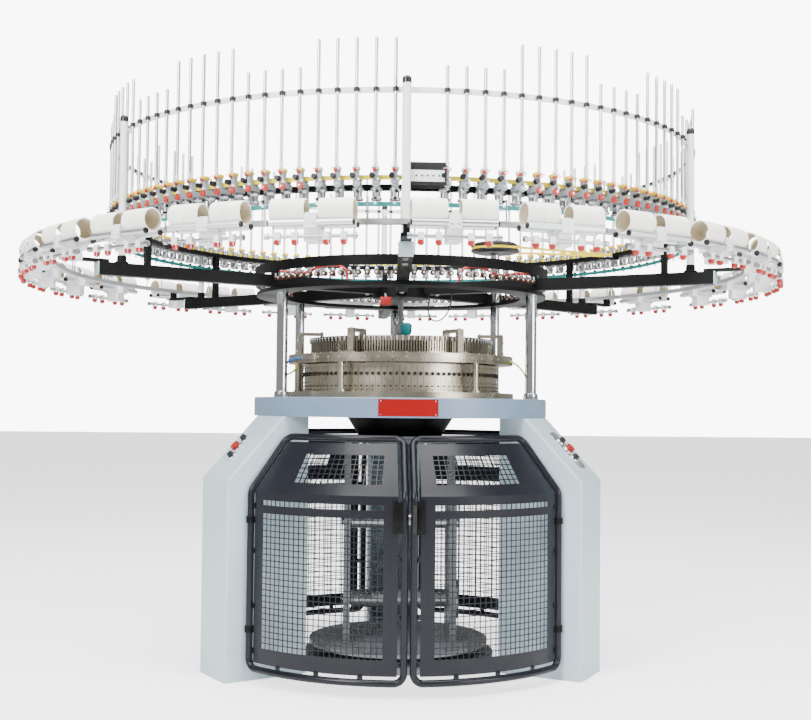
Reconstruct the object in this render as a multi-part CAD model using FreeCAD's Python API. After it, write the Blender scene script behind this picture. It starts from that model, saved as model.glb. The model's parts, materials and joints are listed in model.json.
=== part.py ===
import FreeCAD, Part
import math
import os

# Large circular knitting machine.  Millimetres, +Z up.  The origin is on the floor, on the
# machine's vertical axis.  The operator's side is -Y.  Angles are counter-clockwise from +X.

# ---- driving dimensions -------------------------------------------------------------------
FRONT = 270.0                       # direction of the operator's side, degrees
LEG_ANGLES = (210.0, 330.0, 90.0)   # left, right and rear leg
LEG_OUTER = 906.0
LEG_INNER = 540.0
LEG_HALF = 127.0
LEG_SHOULDER = 812.0                # where the sloping control face starts
LEG_WALL = 12.0
TABLE_R = 659.0
TABLE_BOTTOM = 1070.0
TABLE_TOP = 1152.0
TABLE_WALL = 18.0
UNDERPLATE = 10.0

CYLINDER_R = 381.0                  # 30 inch needle cylinder
CYLINDER_WALL = 26.0
CYLINDER_TOP = 1318.0
BED_TOP = 1177.0                    # top of the base ring that carries the cam boxes
BED_R = 512.0
CAM_R = 437.0
CAM_TOP = 1298.0
CAM_COUNT = 108
SINKER_R = 508.0
SINKER_BOTTOM = 1303.5
SINKER_TOP = 1341.0
FINGER_TOP = 1417.0
GATE_TOP = 1446.0

SHAFT_R = 565.0                     # radius of the drive shaft's place on the table
SHAFT_ANGLE = 33.5
SHAFT_TOP = 1925.0
GEAR_MODULE = 10.0
RING_TEETH = 100
PINION_TEETH = 13
PULLEY_R = 113.0
IDLER_R = 18.0
IDLER_PLACE = (1165.0, 24.0)        # radius and angle
BELT_Z = 1885.0

COLUMN_TOP = 1605.0
COLUMNS = ((605.0, 210.0, 24.0), (625.0, 331.5, 24.0), (605.0, 90.0, 24.0), (565.0, 146.5, 22.0))
ARM_ANGLES = (210.0, 267.7, 330.0, 40.0, 91.5, 140.0)
ARM_BOTTOM = 1620.0
ARM_SIZE = 50.0
ARM_END = 1415.0
HUB_R = 130.0
BAND_R = 664.0
BAND_BOTTOM = 1685.0
BAND_TOP = 1727.0

TUBE_COUNT = 117
TUBE_GAP = 8.0                      # open stretch of the tube ring at the front, degrees
TUBE_PLACE_R = 1294.0
TUBE_R = 6.0
TUBE_BOTTOM = 1960.0
TUBE_TOPS = (2308.0, 2403.0)        # short and tall
TUBE_GROUP = 9                      # four short ones, then five tall ones
POST_PLACE_R = 1318.0
POST_R = 15.0
POST_TOP = 2248.0
TUBE_RING_Z = (2211.0, 2231.0)

FEED_RAIL_R = (1200.0, 1225.0)
FEED_RAIL_Z = (1880.0, 1900.0)
FEED_WHEEL_PLACE = 1246.0

ROLLER_RING_R = (1517.0, 1545.0)
ROLLER_RING_Z = (1710.0, 1728.0)
DEVICE_PLACE_R = 1617.0
DEVICE_FIRST = 3.0                  # first device, degrees past the front
DEVICE_PITCH = 13.0
DEVICES_PER_SECTOR = 9
SECTORS = 3
DRIVE_R = 11.0                      # long rollers that turn the yarn cores
DRIVE_OFFSET = 32.0
DRIVE_Z = 1699.5
DRIVE_HALF = 137.5
CORE_R = 41.0
CORE_WALL = 5.0
CORE_LENGTH = 57.0
CORE_Z = 1740.8
SENSOR_RAIL_R = 1649.0
SENSOR_RAIL_Z = 1655.0
SENSOR_OFFSETS = (-109.0, -51.5, 51.5, 109.0)

DOOR_R = 822.0
DOOR_TOP_R = 660.0
DOOR_BOTTOM = 59.0                  # tube centre lines
DOOR_BEND = 770.0
DOOR_TOP = 988.0
DOOR_TUBE = 14.0
DOOR_CORNER_RUN = 50.0
HINGE_OFFSET = 147.0                # hinge line, from the mid plane of the leg
MEETING_OFFSET = 18.0               # inner tube, from the mid plane of the door pair
SHEET_GAP = 26.0                    # from a tube's centre line to the edge of the sheet
SHEET = 2.0
HOLE = 20.0
HOLE_PITCH = 23.5
HINGE_HEIGHTS = (200.0, 640.0)

TURN_R = 400.0                      # rotating take-down unit
TURN_BOTTOM = 62.0
SIDE_PLATE_X = (220.0, 250.0)
NIP_Z = 600.0
NIP_R = 32.0
CLOTH_Z = 250.0
CLOTH_R = 40.0

BUTTON_STEPS = ((-18.0, 124.0, 13.0), (-42.0, 172.0, 19.0), (-36.0, 220.0, 13.0))
BUTTON_LENGTH = 16.0

RING_ARCS = 24                      # arcs that the thin rings are joined from
RAIL_ARCS = 36
GEAR_ARCS = 25
JOINT_GAP = 0.3
GUARD_CUTS = (253.3, 243.5, 233.7)  # joints of the rear guards' sheets, degrees

ORIGIN = FreeCAD.Vector(0, 0, 0)
UP = FreeCAD.Vector(0, 0, 1)


# ---- helpers ------------------------------------------------------------------------------
def polar(radius, angle, z=0.0):
    turn = math.radians(angle)
    return FreeCAD.Vector(radius * math.cos(turn), radius * math.sin(turn), z)


def turned(shape, angle):
    copy = shape.copy()
    copy.rotate(ORIGIN, UP, angle)
    return copy


def all_round(shape, angles):
    return [turned(shape, angle) for angle in angles]


def disc(radius, low, high, at=ORIGIN):
    return Part.makeCylinder(radius, high - low, FreeCAD.Vector(at.x, at.y, low))


def ring(inner, outer, low, high):
    return disc(outer, low, high).cut(disc(inner, low, high))


def profile_face(points):
    corners = [FreeCAD.Vector(r, 0, z) for r, z in points]
    return Part.Face(Part.makePolygon(corners + corners[:1]))


def lathe(points, sweep=360.0, start=0.0):
    return turned(profile_face(points).revolve(ORIGIN, UP, sweep), start)


def sector(inner, outer, low, high, sweep, start):
    return lathe(((inner, low), (outer, low), (outer, high), (inner, high)), sweep, start)


def in_arcs(shape, reach, count):
    """A ring as `count` equal arcs with hairline joints. The ring has to repeat at every arc."""
    box = shape.BoundBox
    step = 360.0 / count
    wedge = sector(1, reach, box.ZMin - 1, box.ZMax + 1, step - math.degrees(JOINT_GAP / reach), 0.0)
    return all_round(shape.common(wedge), [step * index for index in range(count)])


def bar(near, far, half, low, high, angle=0.0, shift=0.0):
    """Square bar that runs outwards, `half` wide on each side of its line."""
    box = Part.makeBox(far - near, 2 * half, high - low, FreeCAD.Vector(near, shift - half, low))
    return turned(box, angle)


def cross_rod(radius, place, z, start, end):
    """Round rod along the tangent, at angle 0."""
    return Part.makeCylinder(radius, end - start, FreeCAD.Vector(place, start, z), FreeCAD.Vector(0, 1, 0))


def fused(shapes):
    whole = shapes[0].multiFuse(list(shapes[1:]))
    return whole.removeSplitter()


def save(name, shapes):
    shapes = shapes if isinstance(shapes, (list, tuple)) else [shapes]
    solids = [solid for shape in shapes for solid in shape.Solids]
    whole = solids[0] if len(solids) == 1 else Part.makeCompound(solids)
    whole.exportStep("parts/" + name + ".step")


def toothed_ring(teeth, root, tip, root_share, tip_share, low, high, bore):
    """Ring with straight-sided teeth; the shares are half widths as parts of a pitch."""
    pitch = 360.0 / teeth
    corners = []
    for index in range(teeth):
        middle = index * pitch
        corners.append(polar(root, middle - root_share * pitch, low))
        corners.append(polar(tip, middle - tip_share * pitch, low))
        corners.append(polar(tip, middle + tip_share * pitch, low))
        corners.append(polar(root, middle + root_share * pitch, low))
    blank = Part.Face(Part.makePolygon(corners + corners[:1])).extrude(UP * (high - low))
    return blank.cut(disc(bore, low, high)) if bore else blank


def gear(teeth, low, high, bore):
    pitch_r = GEAR_MODULE * teeth / 2.0
    root = pitch_r - 1.2 * GEAR_MODULE
    tip = pitch_r + 0.8 * GEAR_MODULE
    return toothed_ring(teeth, root, tip, 0.30, 0.12, low, high, bore)


def straight_tube(start, end, radius):
    return Part.makeCylinder(radius, (end - start).Length, start, end - start)


def swept_circle(start, along, centre, axis, sweep, radius):
    face = Part.Face(Part.Wire(Part.makeCircle(radius, start, along)))
    return face.revolve(centre, axis, sweep)


def bend_radius(before, corner, after):
    """Largest neat bend: 0.45 of the shorter run over the tangent of half the turn."""
    half = (corner - before).getAngle(after - corner) / 2.0
    shorter = min((corner - before).Length, (after - corner).Length)
    return 0.45 * shorter / math.tan(half)


def tube_pieces(points, bends, radius):
    """Straight runs joined by tangent arcs, one bend radius for each inner point."""
    pieces = []
    start = points[0]
    for before, corner, after, bend in zip(points, points[1:], points[2:], bends):
        into = (corner - before).normalize()
        out = (after - corner).normalize()
        turn = into.getAngle(out)
        reach = bend * math.tan(turn / 2.0)
        arc_start = corner - into * reach
        axis = into.cross(out).normalize()
        centre = arc_start + axis.cross(into) * bend
        pieces.append(straight_tube(start, arc_start, radius))
        pieces.append(swept_circle(arc_start, into, centre, axis, math.degrees(turn), radius))
        start = corner + out * reach
    pieces.append(straight_tube(start, points[-1], radius))
    return pieces


# ---- legs, table and bearings -------------------------------------------------------------
def leg_outline(inset, inner):
    drop = inset * 0.42
    return ((inner, inset), (LEG_OUTER - inset, inset), (LEG_OUTER - inset, LEG_SHOULDER - drop),
            (TABLE_R - drop, TABLE_BOTTOM - inset), (inner, TABLE_BOTTOM - inset))


def slab(points, half):
    block = profile_face(points).extrude(FreeCAD.Vector(0, 2 * half, 0))
    block.translate(FreeCAD.Vector(0, -half, 0))
    return block


def leg(angle):
    shell = slab(leg_outline(0.0, LEG_INNER), LEG_HALF)
    outer = [edge for edge in shell.Edges if edge.CenterOfMass.x > TABLE_R and edge.Length > 300.0
             and abs(edge.CenterOfMass.y) > LEG_HALF - 1.0 and edge.BoundBox.ZMax > LEG_SHOULDER - 1.0]
    shell = shell.makeFillet(LEG_WALL - 2.0, outer)
    hollow = slab(leg_outline(LEG_WALL, LEG_INNER - LEG_WALL), LEG_HALF - LEG_WALL)
    return turned(shell.cut(hollow), angle)


def table_plate():
    lip = 4.0
    under = TABLE_TOP - TABLE_WALL
    casting = lathe(((CYLINDER_R + 7, under), (TABLE_R - TABLE_WALL, under), (TABLE_R - TABLE_WALL, TABLE_BOTTOM),
                     (TABLE_R, TABLE_BOTTOM), (TABLE_R, TABLE_TOP - lip), (TABLE_R - lip, TABLE_TOP),
                     (CYLINDER_R + 7, TABLE_TOP)))
    shaft_hole = disc(24.0, TABLE_BOTTOM, TABLE_TOP, polar(SHAFT_R, SHAFT_ANGLE))
    return casting.cut(shaft_hole)


def bearing_housing():
    """Underplate with a bearing race on top and the black cone that hangs below it."""
    top = TABLE_BOTTOM + UNDERPLATE
    rim = TABLE_R - TABLE_WALL
    return lathe(((200, top), (380, top), (380, top + 14), (420, top + 14), (420, top), (rim, top),
                  (rim, TABLE_BOTTOM), (243, TABLE_BOTTOM), (190, 985), (165, 985), (165, 1050)))


def floor_bearing():
    return lathe(((0, 0), (427, 0), (427, 22), (415, 30), (90, 30), (90, TURN_BOTTOM - 4), (0, TURN_BOTTOM - 4)))


# ---- knitting head ------------------------------------------------------------------------
def cam_boxes():
    pitch = 360.0 / CAM_COUNT
    box = sector(CYLINDER_R + 3, CAM_R, BED_TOP, CAM_TOP, pitch - 0.16, 0.0)
    return all_round(box, [pitch * index for index in range(CAM_COUNT)])


def yarn_fingers():
    base = SINKER_TOP + 8
    carrier = ring(CYLINDER_R + 11, 414, SINKER_TOP, base)
    comb = toothed_ring(2 * CAM_COUNT, 400, 409, 0.25, 0.25, base, FINGER_TOP, CYLINDER_R + 11)
    return in_arcs(carrier, 420, RING_ARCS) + in_arcs(comb, 420, RING_ARCS)


def ring_gate():
    """Foot, leg, beam and inner hook, bolted end to end."""
    foot_top = SINKER_TOP + 8
    beam_low = GATE_TOP - 14
    foot = bar(436, 482, 22, SINKER_TOP, foot_top)
    outer = bar(450, 468, 15, foot_top, beam_low)
    beam = bar(352, 468, 15, beam_low, GATE_TOP)
    inner = bar(352, 366, 15, GATE_TOP - 40, beam_low)
    return Part.makeCompound([foot, outer, beam, inner])


def ring_post():
    place = polar(486, 0)
    stem = disc(13, BED_TOP, SINKER_BOTTOM, place)
    flange = disc(23, BED_TOP, BED_TOP + 9, place)
    return fused([stem, flange])


def needle_cylinder():
    return ring(CYLINDER_R - CYLINDER_WALL, CYLINDER_R, 1125, CYLINDER_TOP)


# ---- drive --------------------------------------------------------------------------------
def drive_shaft():
    place = polar(SHAFT_R, SHAFT_ANGLE)
    rod = disc(22, TABLE_BOTTOM + UNDERPLATE + 0.5, SHAFT_TOP, place)
    pinion = gear(PINION_TEETH, 1097, 1123, 0)
    pinion.rotate(ORIGIN, UP, SHAFT_ANGLE + 180 - 180.0 / PINION_TEETH)
    pinion.translate(place)
    return fused([rod, pinion])


def quality_pulley():
    """Belt wheel on top of the drive shaft, with a rim above and below the belt."""
    rim = PULLEY_R + 5
    wheel = lathe(((22, 1862), (96, 1862), (rim, 1871), (rim, 1877), (PULLEY_R, 1877), (PULLEY_R, 1893),
                   (rim, 1893), (rim, 1899), (102, 1909), (22, 1909)))
    wheel.translate(polar(SHAFT_R, SHAFT_ANGLE))
    return wheel


def belt_loop(large, small, low, high):
    """Solid between two wheels' outer tangents, round both ends."""
    first = polar(SHAFT_R, SHAFT_ANGLE, low)
    second = polar(IDLER_PLACE[0], IDLER_PLACE[1], low)
    along = (second - first).normalize()
    side = UP.cross(along)
    lean = math.acos((large - small) / (second - first).Length)
    corners = []
    for centre, radius, sign in ((first, large, 1), (second, small, 1), (second, small, -1), (first, large, -1)):
        corners.append(centre + along * (radius * math.cos(lean)) + side * (sign * radius * math.sin(lean)))
    web = Part.Face(Part.makePolygon(corners + corners[:1])).extrude(UP * (high - low))
    return fused([disc(large, low, high, first), disc(small, low, high, second), web])


def quality_belt():
    low = BELT_Z - 6
    high = BELT_Z + 6
    return belt_loop(PULLEY_R + 2.2, IDLER_R + 2.2, low, high).cut(belt_loop(PULLEY_R + 0.6, IDLER_R + 0.6, low, high))


def belt_idler():
    wheel = lathe(((5, 1876.5), (IDLER_R + 4, 1876.5), (IDLER_R + 4, 1878), (IDLER_R, 1878), (IDLER_R, 1892),
                   (IDLER_R + 4, 1892), (IDLER_R + 4, 1893.5), (5, 1893.5)))
    wheel.translate(polar(*IDLER_PLACE))
    return wheel


# ---- columns, spider and rings ------------------------------------------------------------
def column(place_r, angle, radius):
    place = polar(place_r, angle)
    rod = disc(radius, TABLE_TOP, COLUMN_TOP, place)
    collar = disc(radius + 8, TABLE_TOP, TABLE_TOP + 12, place)
    return fused([rod, collar])


def column_ring():
    plate = ring(540, 655, COLUMN_TOP, ARM_BOTTOM)
    return plate.cut(disc(24.0, COLUMN_TOP, ARM_BOTTOM, polar(SHAFT_R, SHAFT_ANGLE)))


def spider_arm():
    arm = bar(HUB_R - 20, ARM_END, ARM_SIZE / 2, ARM_BOTTOM, ARM_BOTTOM + ARM_SIZE)
    return arm.cut(disc(HUB_R, ARM_BOTTOM, ARM_BOTTOM + ARM_SIZE))


def band_ring():
    band = ring(BAND_R - 8, BAND_R, BAND_BOTTOM, BAND_TOP)
    blocks = all_round(bar(628, BAND_R - 8.2, 14, ARM_BOTTOM + ARM_SIZE, BAND_BOTTOM + 8), ARM_ANGLES)
    return in_arcs(band, BAND_R + 1, RING_ARCS) + blocks


def ring_stands():
    arm_top = ARM_BOTTOM + ARM_SIZE
    upright = bar(FEED_RAIL_R[0], FEED_RAIL_R[1] - 2, 14, arm_top, FEED_RAIL_Z[0])
    shelf = bar(1375, ROLLER_RING_R[1] - 2, 20, arm_top, arm_top + 12)
    support = bar(ROLLER_RING_R[0] + 2, ROLLER_RING_R[1] - 2, 12, arm_top + 12, ROLLER_RING_Z[0])
    plate = bar(1150, 1222, 12, FEED_RAIL_Z[0] - 14, FEED_RAIL_Z[0] - 6, IDLER_PLACE[1])
    riser = bar(1202, 1222, 12, FEED_RAIL_Z[0] - 6, FEED_RAIL_Z[0], IDLER_PLACE[1])
    pin = disc(4.6, FEED_RAIL_Z[0] - 14, 1897, polar(*IDLER_PLACE))
    outriggers = all_round(Part.makeCompound([shelf, support]), ARM_ANGLES)
    return all_round(upright, ARM_ANGLES) + outriggers + [fused([plate, riser, pin])]


def centre_fan():
    """Motor housing of the lint fan, on a rod under the hub."""
    return lathe(((0, 1436), (22, 1440), (27, 1450), (27, 1486), (16, 1496), (11, 1500), (11, 1605), (0, 1605)))


# ---- upper yarn tubes ---------------------------------------------------------------------
def tube_angles():
    pitch = (360.0 - TUBE_GAP) / (TUBE_COUNT - 1)
    return [FRONT + TUBE_GAP / 2 + pitch * index for index in range(TUBE_COUNT)]


def yarn_tubes():
    tubes = []
    for index, angle in enumerate(tube_angles()):
        top = TUBE_TOPS[0] if index % TUBE_GROUP < 4 else TUBE_TOPS[1]
        tube = disc(TUBE_R, TUBE_BOTTOM, top).cut(disc(TUBE_R - 1, TUBE_BOTTOM, top))
        tube.translate(polar(TUBE_PLACE_R, angle))
        tubes.append(tube)
    return tubes


def tube_ring():
    low, high = TUBE_RING_Z
    inner_face = POST_PLACE_R - POST_R
    hoop = ring(TUBE_PLACE_R - TUBE_R - 7, TUBE_PLACE_R - TUBE_R - 0.3, low, high)
    post = disc(POST_R, ARM_BOTTOM + ARM_SIZE, POST_TOP, polar(POST_PLACE_R, 0))
    clamp = bar(TUBE_PLACE_R - TUBE_R - 9, inner_face + 4, 9, low - 16, low)
    return in_arcs(hoop, TUBE_PLACE_R, RING_ARCS) + all_round(fused([post, clamp]), ARM_ANGLES)


# ---- storage feeders ----------------------------------------------------------------------
def feeder_housing():
    body = bar(FEED_RAIL_R[1] + 0.2, 1290, 12, 1885, 1905)
    holder = bar(1268, 1290, 9, 1905, 1942)
    guide = bar(1276, 1284, 4, 1846, 1885)
    shaft_hole = disc(5.6, 1885, 1905, polar(FEED_WHEEL_PLACE, 0))
    return fused([body, holder, guide]).cut(shaft_hole)


def feeder_wheel():
    wheel = lathe(((0, 1838), (19, 1838), (20, 1844), (15, 1850), (15, 1868), (21, 1876), (21, 1882), (5, 1882),
                   (5, 1907), (16, 1907), (16, 1927), (0, 1927)))
    wheel.translate(polar(FEED_WHEEL_PLACE, 0))
    return wheel


def feeder_belts():
    inner = FEED_WHEEL_PLACE + 16.4
    upper = ring(inner, inner + 2, 1909, 1925)
    lower = ring(inner, inner + 2, 1815, 1831)
    hangers = all_round(bar(FEED_RAIL_R[1] - 1.7, inner - 0.2, 5, 1821, 1825), ARM_ANGLES)
    return [upper, lower] + hangers


# ---- outer ring of elastane feeders -------------------------------------------------------
def device_angles():
    angles = []
    for number in range(SECTORS):
        for index in range(DEVICES_PER_SECTOR):
            angles.append(FRONT + DEVICE_FIRST + 360.0 / SECTORS * number + DEVICE_PITCH * index)
    return angles


def drive_roller(side):
    return cross_rod(DRIVE_R, DEVICE_PLACE_R + side * DRIVE_OFFSET, DRIVE_Z, -DRIVE_HALF, DRIVE_HALF)


def roller_bracket():
    hub = bar(ROLLER_RING_R[1] + 0.3, DEVICE_PLACE_R + 45, 20, 1682, 1728)
    for side in (-1, 1):
        hub = hub.cut(cross_rod(DRIVE_R + 0.4, DEVICE_PLACE_R + side * DRIVE_OFFSET, DRIVE_Z, -25, 25))
    housing = bar(DEVICE_PLACE_R - 47, 1642, 24, 1640, 1682)
    return fused([hub, housing])


def yarn_cores():
    cores = []
    for start in (-DRIVE_HALF, -DRIVE_HALF + 57.5, DRIVE_HALF - 57.0 - 57.5, DRIVE_HALF - 57.0):
        outer = cross_rod(CORE_R, DEVICE_PLACE_R, CORE_Z, start, start + CORE_LENGTH)
        inner = cross_rod(CORE_R - CORE_WALL, DEVICE_PLACE_R, CORE_Z, start, start + CORE_LENGTH)
        cores.append(outer.cut(inner))
    return Part.makeCompound(cores)



def sensor_rail():
    rod = cross_rod(6, SENSOR_RAIL_R, SENSOR_RAIL_Z, -148, 148)
    knobs = [cross_rod(10, SENSOR_RAIL_R, SENSOR_RAIL_Z, start, start + 14) for start in (-152, 138)]
    return fused([rod] + knobs)


def stop_sensors():
    hole = cross_rod(6.2, SENSOR_RAIL_R, SENSOR_RAIL_Z, -150, 150)
    blocks = [bar(SENSOR_RAIL_R - 9, SENSOR_RAIL_R + 9, 10, 1642, 1668, 0, shift) for shift in SENSOR_OFFSETS]
    return Part.makeCompound([block.cut(hole) for block in blocks])


def sensor_lenses():
    lenses = [disc(9, 1626, 1642, FreeCAD.Vector(SENSOR_RAIL_R, shift, 0)) for shift in SENSOR_OFFSETS]
    return Part.makeCompound(lenses)


# ---- doors and guards ---------------------------------------------------------------------
def edge_angle(radius, offset):
    """Angle from a mid plane at which an arc ends, so that its corner lies `offset` from the plane."""
    reach = math.hypot(radius, DOOR_CORNER_RUN)
    return math.degrees(math.asin(offset / reach) + math.atan(DOOR_CORNER_RUN / radius))


def door_ends(radius):
    return (LEG_ANGLES[0] + edge_angle(radius, HINGE_OFFSET), FRONT - edge_angle(radius, MEETING_OFFSET))


def door_side(which):
    """Route of one side tube, from the end of the bottom arc to the end of the top arc."""
    bottom = door_ends(DOOR_R)[which]
    top = door_ends(DOOR_TOP_R)[which]
    outward = -90 if which == 0 else 90
    low_end = polar(DOOR_R, bottom, DOOR_BOTTOM)
    low_corner = low_end + polar(DOOR_CORNER_RUN, bottom + outward)
    bend = FreeCAD.Vector(low_corner.x, low_corner.y, DOOR_BEND)
    top_end = polar(DOOR_TOP_R, top, DOOR_TOP)
    return [low_end, low_corner, bend, top_end + polar(DOOR_CORNER_RUN, top + outward), top_end]


def door_arc(radius, z):
    start, end = door_ends(radius)
    return swept_circle(polar(radius, start, z), polar(1, start + 90), ORIGIN, UP, end - start, DOOR_TUBE)


def frame_sides():
    corner = DOOR_CORNER_RUN * 0.8
    return [piece for which in (0, 1) for piece in tube_pieces(door_side(which), (corner, 60.0, corner), DOOR_TUBE)]


def door_frame():
    return fused([door_arc(DOOR_R, DOOR_BOTTOM), door_arc(DOOR_TOP_R, DOOR_TOP)] + frame_sides())


def sheet_slope():
    """Length of the sheet's sloping part up to the top tube, and its lean from the vertical."""
    inwards = DOOR_R - DOOR_TOP_R
    upwards = DOOR_TOP - DOOR_BEND
    return math.hypot(inwards, upwards), math.atan2(inwards, upwards)


def sheet_blank():
    length, lean = sheet_slope()
    half = SHEET / 2
    rise = half * math.tan(lean / 2)
    reach = length - SHEET_GAP
    end = (DOOR_R - reach * math.sin(lean), DOOR_BEND + reach * math.cos(lean))
    step = (half * math.cos(lean), half * math.sin(lean))
    low = DOOR_BOTTOM + SHEET_GAP
    outline = ((DOOR_R - half, low), (DOOR_R + half, low), (DOOR_R + half, DOOR_BEND + rise),
               (end[0] + step[0], end[1] + step[1]), (end[0] - step[0], end[1] - step[1]),
               (DOOR_R - half, DOOR_BEND - rise))
    blank = lathe(outline, 56.0, 215.0)
    hinge_side = bar(0, 1200, 400, 0, 1200, LEG_ANGLES[0], HINGE_OFFSET + SHEET_GAP - 400)
    meeting_side = bar(0, 1200, 400, 0, 1200, FRONT, 400 - MEETING_OFFSET - SHEET_GAP)
    return blank.cut(hinge_side).cut(meeting_side)


def hole_tool(along_slope):
    """Square punch, set on the sheet at angle 0; below the bend the distance is negative."""
    length, lean = sheet_slope()
    punch = Part.makeBox(12, HOLE, HOLE, FreeCAD.Vector(-6, -HOLE / 2, -HOLE / 2))
    if along_slope > 0:
        punch.rotate(ORIGIN, FreeCAD.Vector(0, 1, 0), -math.degrees(lean))
        punch.translate(FreeCAD.Vector(DOOR_R - along_slope * math.sin(lean), 0,
                                       DOOR_BEND + along_slope * math.cos(lean)))
    else:
        punch.translate(FreeCAD.Vector(DOOR_R, 0, DOOR_BEND + along_slope))
    return punch


def hole_window(first_row, rows, columns, radius):
    pitch = math.degrees(HOLE_PITCH / radius)
    start = FRONT - math.degrees((MEETING_OFFSET + SHEET_GAP + 66.0) / radius)
    tools = []
    for row in range(rows):
        punch = hole_tool(first_row + row * HOLE_PITCH)
        tools += all_round(punch, [start - pitch * column for column in range(columns)])
    return tools


def door_sheet():
    tools = hole_window(-613.0, 23, 23, DOOR_R)
    tools += hole_window(-44.0, 1, 23, DOOR_R)
    tools += hole_window(62.0, 6, 15, (DOOR_R + DOOR_TOP_R) / 2)
    return sheet_blank().cut(Part.makeCompound(tools))


def door_tabs():
    """Small lugs that hold the sheet in its tube frame."""
    hinge_x = math.sqrt(DOOR_R ** 2 - HINGE_OFFSET ** 2)
    meeting_x = math.sqrt(DOOR_R ** 2 - MEETING_OFFSET ** 2)
    tabs = []
    for z in (120.0, 300.0, 520.0, 700.0):
        tabs.append(bar(hinge_x - 6, hinge_x, 14, z, z + 22, LEG_ANGLES[0], HINGE_OFFSET + 16))
        tabs.append(bar(meeting_x - 1, meeting_x + 2, 14, z, z + 22, FRONT, -MEETING_OFFSET - 16))
    for angle in (232.0, 244.5, 257.0):
        tabs.append(bar(DOOR_R - 1, DOOR_R + 2, 11, DOOR_BOTTOM, DOOR_BOTTOM + SHEET_GAP + 4, angle))
    return tabs


def door_panel(frame):
    lugs = [tab.cut(frame) for tab in door_tabs()]
    return fused([door_sheet()] + lugs)


def cut_face(angle):
    """Upright face through the machine's axis."""
    return turned(Part.Face(Part.makePolygon([FreeCAD.Vector(x, 0, z) for x, z in
                                              ((500, 0), (900, 0), (900, 1100), (500, 1100), (500, 0))])), angle)


def rear_guard(panel):
    """One wing of a fixed rear guard: the door's tubes and sheet, joined from short parts."""
    faces = [cut_face(angle) for angle in GUARD_CUTS]
    level = Part.makePlane(1800, 1800, FreeCAD.Vector(-900, -900, DOOR_BEND))
    arcs = Part.makeCompound([door_arc(DOOR_R, DOOR_BOTTOM), door_arc(DOOR_TOP_R, DOOR_TOP)])
    sheet = panel.generalFuse(faces + [level])[0]
    tubes = arcs.generalFuse(faces)[0]
    return Part.makeCompound(sheet.Solids + tubes.Solids + frame_sides())


def mirrored(shape):
    return shape.mirror(ORIGIN, FreeCAD.Vector(1, 0, 0))


def hinge_line():
    return door_side(0)[1]


def door_hinges():
    """Eyes on the legs that hold the doors' outer tubes."""
    line = hinge_line()
    along = line.dot(polar(1, LEG_ANGLES[0]))
    eyes = []
    for z in HINGE_HEIGHTS:
        arm = bar(along - 9, along + 9, 8, z, z + 26, LEG_ANGLES[0], LEG_HALF + 8)
        eye = disc(DOOR_TUBE + 5.0, z, z + 26, line)
        eyes.append(fused([arm, eye]).cut(disc(DOOR_TUBE + 0.6, z, z + 26, line)))
    return eyes + [mirrored(eye) for eye in eyes]


def door_handle():
    front = door_side(1)[1].y - DOOR_TUBE
    boss = Part.makeCylinder(9, 12, FreeCAD.Vector(MEETING_OFFSET, front - 0.6, 687), FreeCAD.Vector(0, -1, 0))
    lever = Part.makeBox(14, 12, 106, FreeCAD.Vector(MEETING_OFFSET - 7, front - 24, 634))
    return fused([boss, lever])


# ---- take-down unit -----------------------------------------------------------------------
def takedown_frame():
    """Turntable, two side plates with uprights, and the ring under the bearing housing."""
    table = disc(TURN_R, TURN_BOTTOM, TURN_BOTTOM + 16)
    near, far = SIDE_PLATE_X
    parts = [table, ring(150, 262, 955, 973)]
    for start in (near, -far):
        parts.append(Part.makeBox(30, 280, 660, FreeCAD.Vector(start, -140, TURN_BOTTOM + 10)))
        parts.append(Part.makeBox(30, 90, 250, FreeCAD.Vector(start, -45, 720)))
    body = fused(parts)
    for y, z, radius in ((-NIP_R - 1, NIP_Z, 12), (NIP_R + 1, NIP_Z, 12), (0, CLOTH_Z, 14)):
        hole = Part.makeCylinder(radius + 0.6, 600, FreeCAD.Vector(-300, y, z), FreeCAD.Vector(1, 0, 0))
        body = body.cut(hole)
    return body


def takedown_roller(y, z, radius, journal, wheel):
    """Roller with journals through the side plates and a chain wheel on one end."""
    along = FreeCAD.Vector(1, 0, 0)
    barrel = Part.makeCylinder(radius, 430, FreeCAD.Vector(-215, y, z), along)
    axle = Part.makeCylinder(journal, 530, FreeCAD.Vector(-262, y, z), along)
    sprocket = Part.makeCylinder(wheel, 10, FreeCAD.Vector(255, y, z), along)
    return fused([barrel, axle, sprocket])


# ---- push buttons -------------------------------------------------------------------------
def slope_frame():
    """Unit vectors up the leg's sloping face and out of it, at angle 0."""
    up_slope = FreeCAD.Vector(TABLE_R - LEG_OUTER, 0, TABLE_BOTTOM - LEG_SHOULDER).normalize()
    return up_slope, FreeCAD.Vector(0, 1, 0).cross(up_slope)


def button(leg_angle, mirror_side, step):
    sideways, upwards, radius = step
    up_slope, out = slope_frame()
    foot = FreeCAD.Vector(LEG_OUTER, sideways * mirror_side, LEG_SHOULDER) + up_slope * upwards + out * 6.0
    return turned(Part.makeCylinder(radius, BUTTON_LENGTH, foot, out), leg_angle)


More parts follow.
